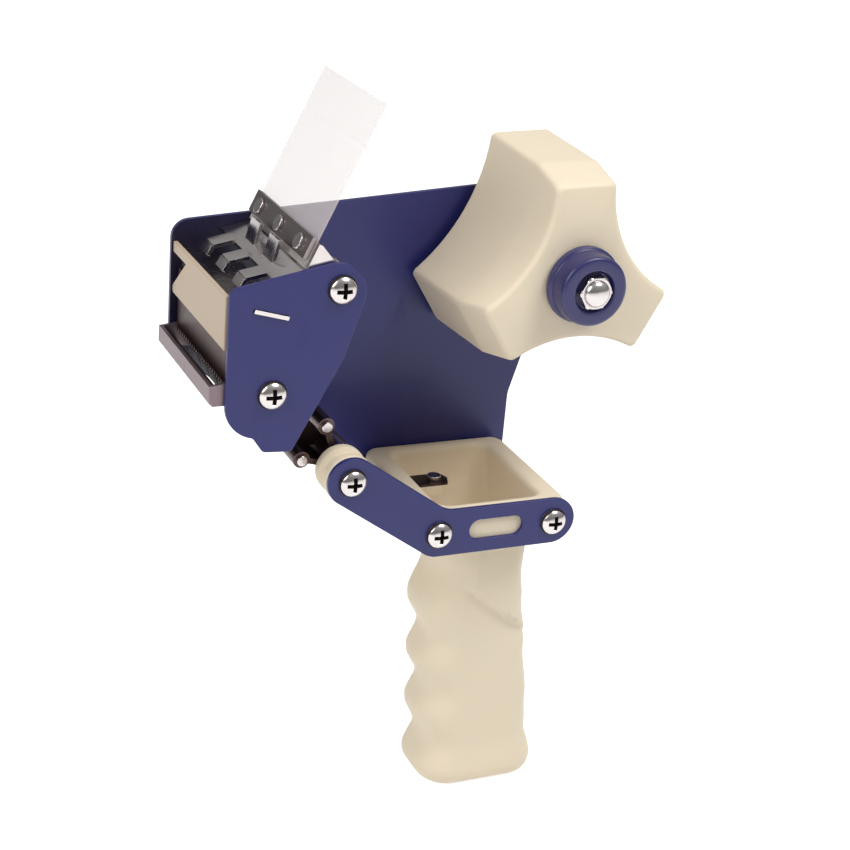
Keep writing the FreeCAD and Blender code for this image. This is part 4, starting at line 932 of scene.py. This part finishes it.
def screw_mesh(x, z, face, side):
    """Pan head screw with a cross recess; side is -1 where the head faces -Y."""
    head, rise, shank, depth = 4.6, 2.8, 2.0, 11.0
    width, reach = 0.62, 2.45
    corner = math.atan2(width, reach)
    quarter = [-corner, 0.0, corner]
    quarter += [blend(corner, math.pi / 4, step / 4) for step in (1, 2, 3)]
    quarter += [math.pi / 4 + step * (math.pi / 4 - corner) / 4 for step in (0, 1, 2, 3)]
    angles = [turn * math.pi / 2 + angle for turn in range(4) for angle in quarter]

    def place(radius, angle, out):
        return Vector((x + radius * math.cos(angle) * MM, face + side * out * MM,
                       z + radius * math.sin(angle) * MM))

    def cross(angle, grow):
        ends = []
        for along_arm, across in ((reach * grow, width * grow), (width * grow, reach * grow)):
            limits = [along_arm / max(abs(math.cos(angle)), 1e-6),
                      across / max(abs(math.sin(angle)), 1e-6)]
            ends.append(min(limits))
        return max(ends)

    def dome(radius):
        share = radius / head
        return rise * (1 - 0.42 * share ** 2 - 0.32 * share ** 6)

    rings = [[place(cross(angle, 0.4), angle, rise - 2.0) for angle in angles]]
    for grow, drop in ((0.72, 1.5), (0.97, 0.22)):
        rings.append([place(cross(angle, grow), angle, dome(cross(angle, grow)) - drop)
                      for angle in angles])
    for share in (0.0, 0.06, 0.25, 0.5, 0.75, 0.92):
        ring = []
        for angle in angles:
            radius = blend(cross(angle, 1.04), head - 0.25, share)
            ring.append(place(radius, angle, dome(radius)))
        rings.append(ring)
    for radius, out in ((head - 0.08, 0.62), (head, 0.45), (head, 0.12), (head - 0.12, 0.0),
                        (shank + 0.1, 0.0), (shank, -0.1), (shank, 0.4 - depth),
                        (shank - 0.4, -depth)):
        rings.append([place(radius, angle, out) for angle in angles])
    bm = loft(rings)
    # Faces inside the cross recess take the second material, the painted shade of the recess.
    for face_of_head in bm.faces:
        centre = face_of_head.calc_center_median()
        out = (centre.y - face) * side / MM
        spread_out = math.hypot(centre.x - x, centre.z - z) / MM
        if out > 0.5 and out < dome(spread_out) - 0.12:
            face_of_head.material_index = 1
    return bm


class DISPENSER_OT_screws(bpy.types.Operator):
    """Make the ten plated pan head screws"""
    bl_idname = "dispenser.screws"
    bl_label = "Screws"

    def execute(self, context):
        for side, word in ((-1, "near"), (1, "far")):
            plate = "handle_bracket" if side < 0 else "side_frame"
            low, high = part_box(plate)
            face = low[1] if side < 0 else high[1]
            for group in ("head_screws", "handle_screws", "pivot_screw"):
                node = f"{group}_{word}"
                low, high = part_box(node)
                radius = 4.6 * MM
                spots = [(low[0] + radius, low[2] + radius), (high[0] - radius, high[2] - radius)]
                bm = bmesh.new()
                for x, z in spots[:1] if group == "pivot_screw" else spots:
                    one = screw_mesh(x, z, face, side)
                    scratch = bpy.data.meshes.new("scratch")
                    one.to_mesh(scratch)
                    one.free()
                    bm.from_mesh(scratch)
                    bpy.data.meshes.remove(scratch)
                piece = show(f"{node}_finished", bm, "nickel", node, smooth=30)
                # Second material: painted shade for the cross recesses.
                piece.data.materials.append(material_named("recess"))
        return {"FINISHED"}


class DISPENSER_OT_rods(bpy.types.Operator):
    """Dress the three rods between the plates"""
    bl_idname = "dispenser.rods"
    bl_label = "Rods"

    def execute(self, context):
        for node in ("gate_axle", "press_axle", "pivot_axle", "pivot_spacer"):
            dress(node, "zinc")
        return {"FINISHED"}


# ---------------------------------------------------------------- head

class DISPENSER_OT_cutter(bpy.types.Operator):
    """Make the guide sheet, the blade, its screws and the front apron"""
    bl_idname = "dispenser.cutter"
    bl_label = "Guide sheet, blade and apron"

    def execute(self, context):
        rounded_node("guide_sheet", "nickel", shape().sheet_edge)
        rounded_node("cutting_blade", "blade", shape().sheet_edge * 0.6)
        rounded_node("front_apron", "apron", shape().plate_edge, 3)
        rounded_node("blade_screws", "zinc", shape().sheet_edge)
        rounded_node("blade_guard", "guard", shape().plate_edge * 2, 3)
        return {"FINISHED"}


def press_outline():
    low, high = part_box("press_roller")
    bore, rim = 3.05 * MM, 11.0 * MM
    corners = [(bore, low[1], 0.0), (rim * 0.55, low[1], 0.3 * MM),
               (rim * 0.6, low[1] + 0.8 * MM, 0.3 * MM), (rim * 0.84, low[1] + 0.8 * MM, 0.3 * MM),
               (rim * 0.86, low[1], 0.3 * MM), (rim, low[1], 1.1 * MM)]
    grooves = 5
    span = (high[1] - low[1] - 8 * MM) / (grooves - 1)
    for number in range(grooves):
        y = low[1] + 4 * MM + span * number
        corners += [(rim, y - 0.7 * MM, 0.2 * MM), (rim - 0.5 * MM, y - 0.4 * MM, 0.1 * MM),
                    (rim - 0.5 * MM, y + 0.4 * MM, 0.1 * MM), (rim, y + 0.7 * MM, 0.2 * MM)]
    corners += [(rim, high[1], 1.1 * MM), (rim * 0.86, high[1], 0.3 * MM),
                (rim * 0.84, high[1] - 0.8 * MM, 0.3 * MM),
                (rim * 0.6, high[1] - 0.8 * MM, 0.3 * MM), (rim * 0.55, high[1], 0.3 * MM),
                (bore, high[1], 0.0)]
    return closed(rounded_path(corners, steps=3))


class DISPENSER_OT_rollers(bpy.types.Operator):
    """Make the press roller and the guide roller with their collars"""
    bl_idname = "dispenser.rollers"
    bl_label = "Rollers"

    def execute(self, context):
        x, z = centre_of("press_roller")
        show("press_roller_finished", turned(press_outline(), x, z), "rubber", "press_roller")
        rounded_node("guide_roller", "zinc", shape().sheet_edge)
        for node in ("guide_collar_near", "guide_collar_far", "press_collar"):
            rounded_node(node, "zinc", shape().sheet_edge)
        for node in ("gate_spring", "guard_spring"):
            dress(node, "spring steel")
        return {"FINISHED"}


FILM_TILT = math.radians(25)
FILM_THICK = 0.6 * MM
CLAMPED_SHARE = 0.22
SCORE_SHARE = 0.74
SCORE_SPREAD = 0.008


def film_mesh():
    """Film on the gate: flat where it is clamped, slightly bowed above, with a fold line."""
    low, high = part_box("wiper_flap")
    thick, tilt = FILM_THICK, FILM_TILT
    up = Vector((math.sin(tilt), 0, math.cos(tilt)))
    out = Vector((-math.cos(tilt), 0, math.sin(tilt)))
    length_up = (high[2] - low[2] - thick * math.sin(tilt)) / math.cos(tilt)
    length_up -= shape().film_bow * math.tan(tilt)
    across, rows = 24, 72
    bm = bmesh.new()
    bmesh.ops.create_grid(bm, x_segments=across, y_segments=rows, size=0.5)
    top_height = high[2] - (thick + shape().film_bow) * math.sin(tilt)
    foot = Vector((high[0], 0, top_height)) - up * length_up
    for vert in bm.verts:
        side, share = vert.co.x * 2, vert.co.y + 0.5
        y = side * (high[1] - low[1]) / 2
        free = ease((share - CLAMPED_SHARE) / (1 - CLAMPED_SHARE))
        bow = shape().film_bow * free * (1 - side * side)
        fold = shape().score_depth * math.exp(-((share - SCORE_SHARE) / SCORE_SPREAD) ** 2)
        vert.co = foot + up * (share * length_up) + out * (bow - fold) + Vector((0, y, 0))
    bmesh.ops.recalc_face_normals(bm, faces=bm.faces)
    if sum(face.normal.dot(out) for face in bm.faces) > 0:
        bmesh.ops.reverse_faces(bm, faces=bm.faces)
    bmesh.ops.solidify(bm, geom=bm.faces[:], thickness=thick)
    return bm


class DISPENSER_OT_gate(bpy.types.Operator):
    """Make the gate with its film, clamp bar and rivets"""
    bl_idname = "dispenser.gate"
    bl_label = "Gate and film"

    def execute(self, context):
        rounded_node("tape_gate", "nickel", shape().sheet_edge)
        rounded_node("flap_clamp", "zinc", shape().sheet_edge)
        rounded_node("flap_rivets", "nickel", shape().plate_edge, 3)
        show("film_flap", film_mesh(), "film", "wiper_flap", smooth=30)
        return {"FINISHED"}


# ---------------------------------------------------------------- lever

def bush_outline():
    low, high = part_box("pivot_bush")
    bore, rim, groove = 3.55 * MM, 8.0 * MM, 6.2 * MM
    near, far = low[1], high[1]
    flange = 3.0 * MM
    corners = [
        (bore, near, 0.3 * MM), (rim, near, 0.6 * MM), (rim, near + flange, 0.7 * MM),
        (groove, near + flange + 1 * MM, 0.4 * MM), (groove, far - flange - 1 * MM, 0.4 * MM),
        (rim, far - flange, 0.7 * MM), (rim, far, 0.6 * MM), (bore, far, 0.3 * MM),
    ]
    return closed(rounded_path(corners, steps=4))


class DISPENSER_OT_lever(bpy.types.Operator):
    """Make the brake lever, its pins and bush, and the leaf spring with its screw"""
    bl_idname = "dispenser.lever"
    bl_label = "Lever and leaf spring"

    def execute(self, context):
        x, z = centre_of("pivot_bush")
        show("pivot_bush_finished", turned(bush_outline(), x, z), "ivory", "pivot_bush")
        rounded_node("brake_lever", "spring steel", shape().plate_edge)
        rounded_node("lever_pins", "nickel", shape().plate_edge, 3)
        rounded_node("leaf_spring", "spring steel", shape().sheet_edge)
        rounded_node("leaf_screw", "nickel", shape().plate_edge, 3)
        return {"FINISHED"}


# ---------------------------------------------------------------- studio

def seen_directly(tree):
    """1 for camera, glossy and transmitted rays, and 0 for the rays that light the object."""
    path = add(tree, "ShaderNodeLightPath")
    seen = calculate(tree, "MAXIMUM", path.outputs["Is Camera Ray"], path.outputs["Is Glossy Ray"])
    return calculate(tree, "MAXIMUM", seen, path.outputs["Is Transmission Ray"])


def floor_material():
    """White floor that keeps a soft shadow."""
    material = bpy.data.materials.new("studio_floor")
    material.use_nodes = True
    tree = material.node_tree
    tree.nodes.clear()
    end = add(tree, "ShaderNodeOutputMaterial")
    lit = add(tree, "ShaderNodeBsdfDiffuse", {"Color": (0.84, 0.84, 0.84, 1.0)})
    glow = add(tree, "ShaderNodeEmission", {"Color": (1.0, 1.0, 1.0, 1.0), "Strength": 0.72})
    both = add(tree, "ShaderNodeAddShader")
    pick = add(tree, "ShaderNodeMixShader")
    wire(tree, lit.outputs[0], both.inputs[0])
    wire(tree, glow.outputs[0], both.inputs[1])
    wire(tree, seen_directly(tree), pick.inputs[0])
    wire(tree, lit.outputs[0], pick.inputs[1])
    wire(tree, both.outputs[0], pick.inputs[2])
    wire(tree, pick.outputs[0], end.inputs["Surface"])
    return material


def make_floor():
    low, high = cad_box
    bm = bmesh.new()
    bmesh.ops.create_grid(bm, x_segments=1, y_segments=1, size=4.0,
                          matrix=Matrix.Translation((0, 0, low[2] - 0.0002)))
    mesh = bpy.data.meshes.new("floor")
    bm.to_mesh(mesh)
    bm.free()
    floor = bpy.data.objects.new("floor", mesh)
    mesh.materials.append(floor_material())
    bpy.context.scene.collection.objects.link(floor)


def make_world():
    """White to the eye, and a soft sky that is brighter overhead for what it lights."""
    world = bpy.data.worlds.new("studio")
    bpy.context.scene.world = world
    world.use_nodes = True
    tree = world.node_tree
    back = tree.nodes["Background"]
    path = add(tree, "ShaderNodeLightPath")
    sky = calculate(tree, "MAXIMUM", path.outputs["Is Camera Ray"],
                    path.outputs["Is Transmission Ray"])
    direction = add(tree, "ShaderNodeTexCoord").outputs["Generated"]
    split = add(tree, "ShaderNodeSeparateXYZ")
    wire(tree, direction, split.inputs[0])
    height = spread(tree, split.outputs["Z"], -0.1, 0.9, 0.16, 0.52)
    sideways = spread(tree, split.outputs["X"], -0.8, 0.8, 0.7, 1.25)
    height = calculate(tree, "MULTIPLY", height, sideways)
    strength = calculate(tree, "MAXIMUM", height, sky)
    back.inputs["Color"].default_value = (1.0, 1.0, 1.0, 1.0)
    wire(tree, strength, back.inputs["Strength"])


def aim(thing, place, target):
    thing.location = place
    thing.rotation_euler = (Vector(target) - Vector(place)).to_track_quat("-Z", "Y").to_euler()


def make_lamp(name, power, size, place, target):
    lamp = bpy.data.lights.new(name, "AREA")
    lamp.shape = "DISK"
    lamp.energy = power
    lamp.size = size
    thing = bpy.data.objects.new(name, lamp)
    aim(thing, place, target)
    bpy.context.scene.collection.objects.link(thing)


def camera_axes():
    """Right, up and backward directions of the camera."""
    turn, rise, roll = stage().azimuth, stage().elevation, stage().roll
    back = Vector((math.sin(turn) * math.cos(rise), -math.cos(turn) * math.cos(rise),
                   math.sin(rise)))
    level = Vector((math.cos(turn), math.sin(turn), 0))
    upright = back.cross(level)
    right = level * math.cos(roll) + upright * math.sin(roll)
    up = upright * math.cos(roll) - level * math.sin(roll)
    return right, up, back


def make_camera():
    right, up, back = camera_axes()
    data = bpy.data.cameras.new("camera")
    data.lens = stage().lens
    data.sensor_width = 36.0
    data.clip_start = 0.01
    camera = bpy.data.objects.new("camera", data)
    place = back * stage().distance - right * stage().aside - up * stage().below
    turn = Matrix((right, up, back)).transposed().to_4x4()
    camera.matrix_world = Matrix.Translation(place) @ turn
    bpy.context.scene.collection.objects.link(camera)
    bpy.context.scene.camera = camera


class DISPENSER_OT_stage(bpy.types.Operator):
    """Set up the floor, the sky, the lamps and the camera"""
    bl_idname = "dispenser.stage"
    bl_label = "Studio"

    def execute(self, context):
        context.scene.view_settings.view_transform = "Standard"
        make_floor()
        make_world()
        right, up, back = camera_axes()
        target = (-0.03, 0.0, -0.05)
        key = (right * 0.75 + up * 0.85 + back * 0.75).normalized() * 0.95
        fill = (up * 0.35 + back * 0.9 - right * 0.7).normalized() * 1.1
        make_lamp("key lamp", stage().key_power, 0.55, key, target)
        make_lamp("fill lamp", stage().fill_power, 0.8, fill, target)
        make_camera()
        return {"FINISHED"}


# ---------------------------------------------------------------- panel and start

MAKERS = [DISPENSER_OT_plates, DISPENSER_OT_handle, DISPENSER_OT_hub, DISPENSER_OT_brake,
          DISPENSER_OT_screws, DISPENSER_OT_rods, DISPENSER_OT_cutter, DISPENSER_OT_rollers,
          DISPENSER_OT_gate, DISPENSER_OT_lever, DISPENSER_OT_stage]


class DISPENSER_PT_panel(bpy.types.Panel):
    """Sidebar panel with the dispenser's settings and makers"""
    bl_idname = "DISPENSER_PT_panel"
    bl_label = "Tape dispenser"
    bl_space_type = "VIEW_3D"
    bl_region_type = "UI"
    bl_category = "Dispenser"

    def draw(self, context):
        for holder in (finish(), shape(), stage()):
            box = self.layout.box()
            for name in holder.__annotations__:
                box.prop(holder, name)
        for maker in MAKERS:
            self.layout.operator(maker.bl_idname)


CLASSES = [DispenserFinish, DispenserShape, DispenserStage, *MAKERS, DISPENSER_PT_panel]


def register():
    for item in CLASSES:
        bpy.utils.register_class(item)
    bpy.types.Scene.dispenser_finish = PointerProperty(type=DispenserFinish)
    bpy.types.Scene.dispenser_shape = PointerProperty(type=DispenserShape)
    bpy.types.Scene.dispenser_stage = PointerProperty(type=DispenserStage)


def unregister():
    del bpy.types.Scene.dispenser_stage
    del bpy.types.Scene.dispenser_shape
    del bpy.types.Scene.dispenser_finish
    for item in reversed(CLASSES):
        bpy.utils.unregister_class(item)


def main():
    register()
    for maker in MAKERS:
        group, name = maker.bl_idname.split(".")
        getattr(getattr(bpy.ops, group), name)()


if __name__ == "__main__":
    main()
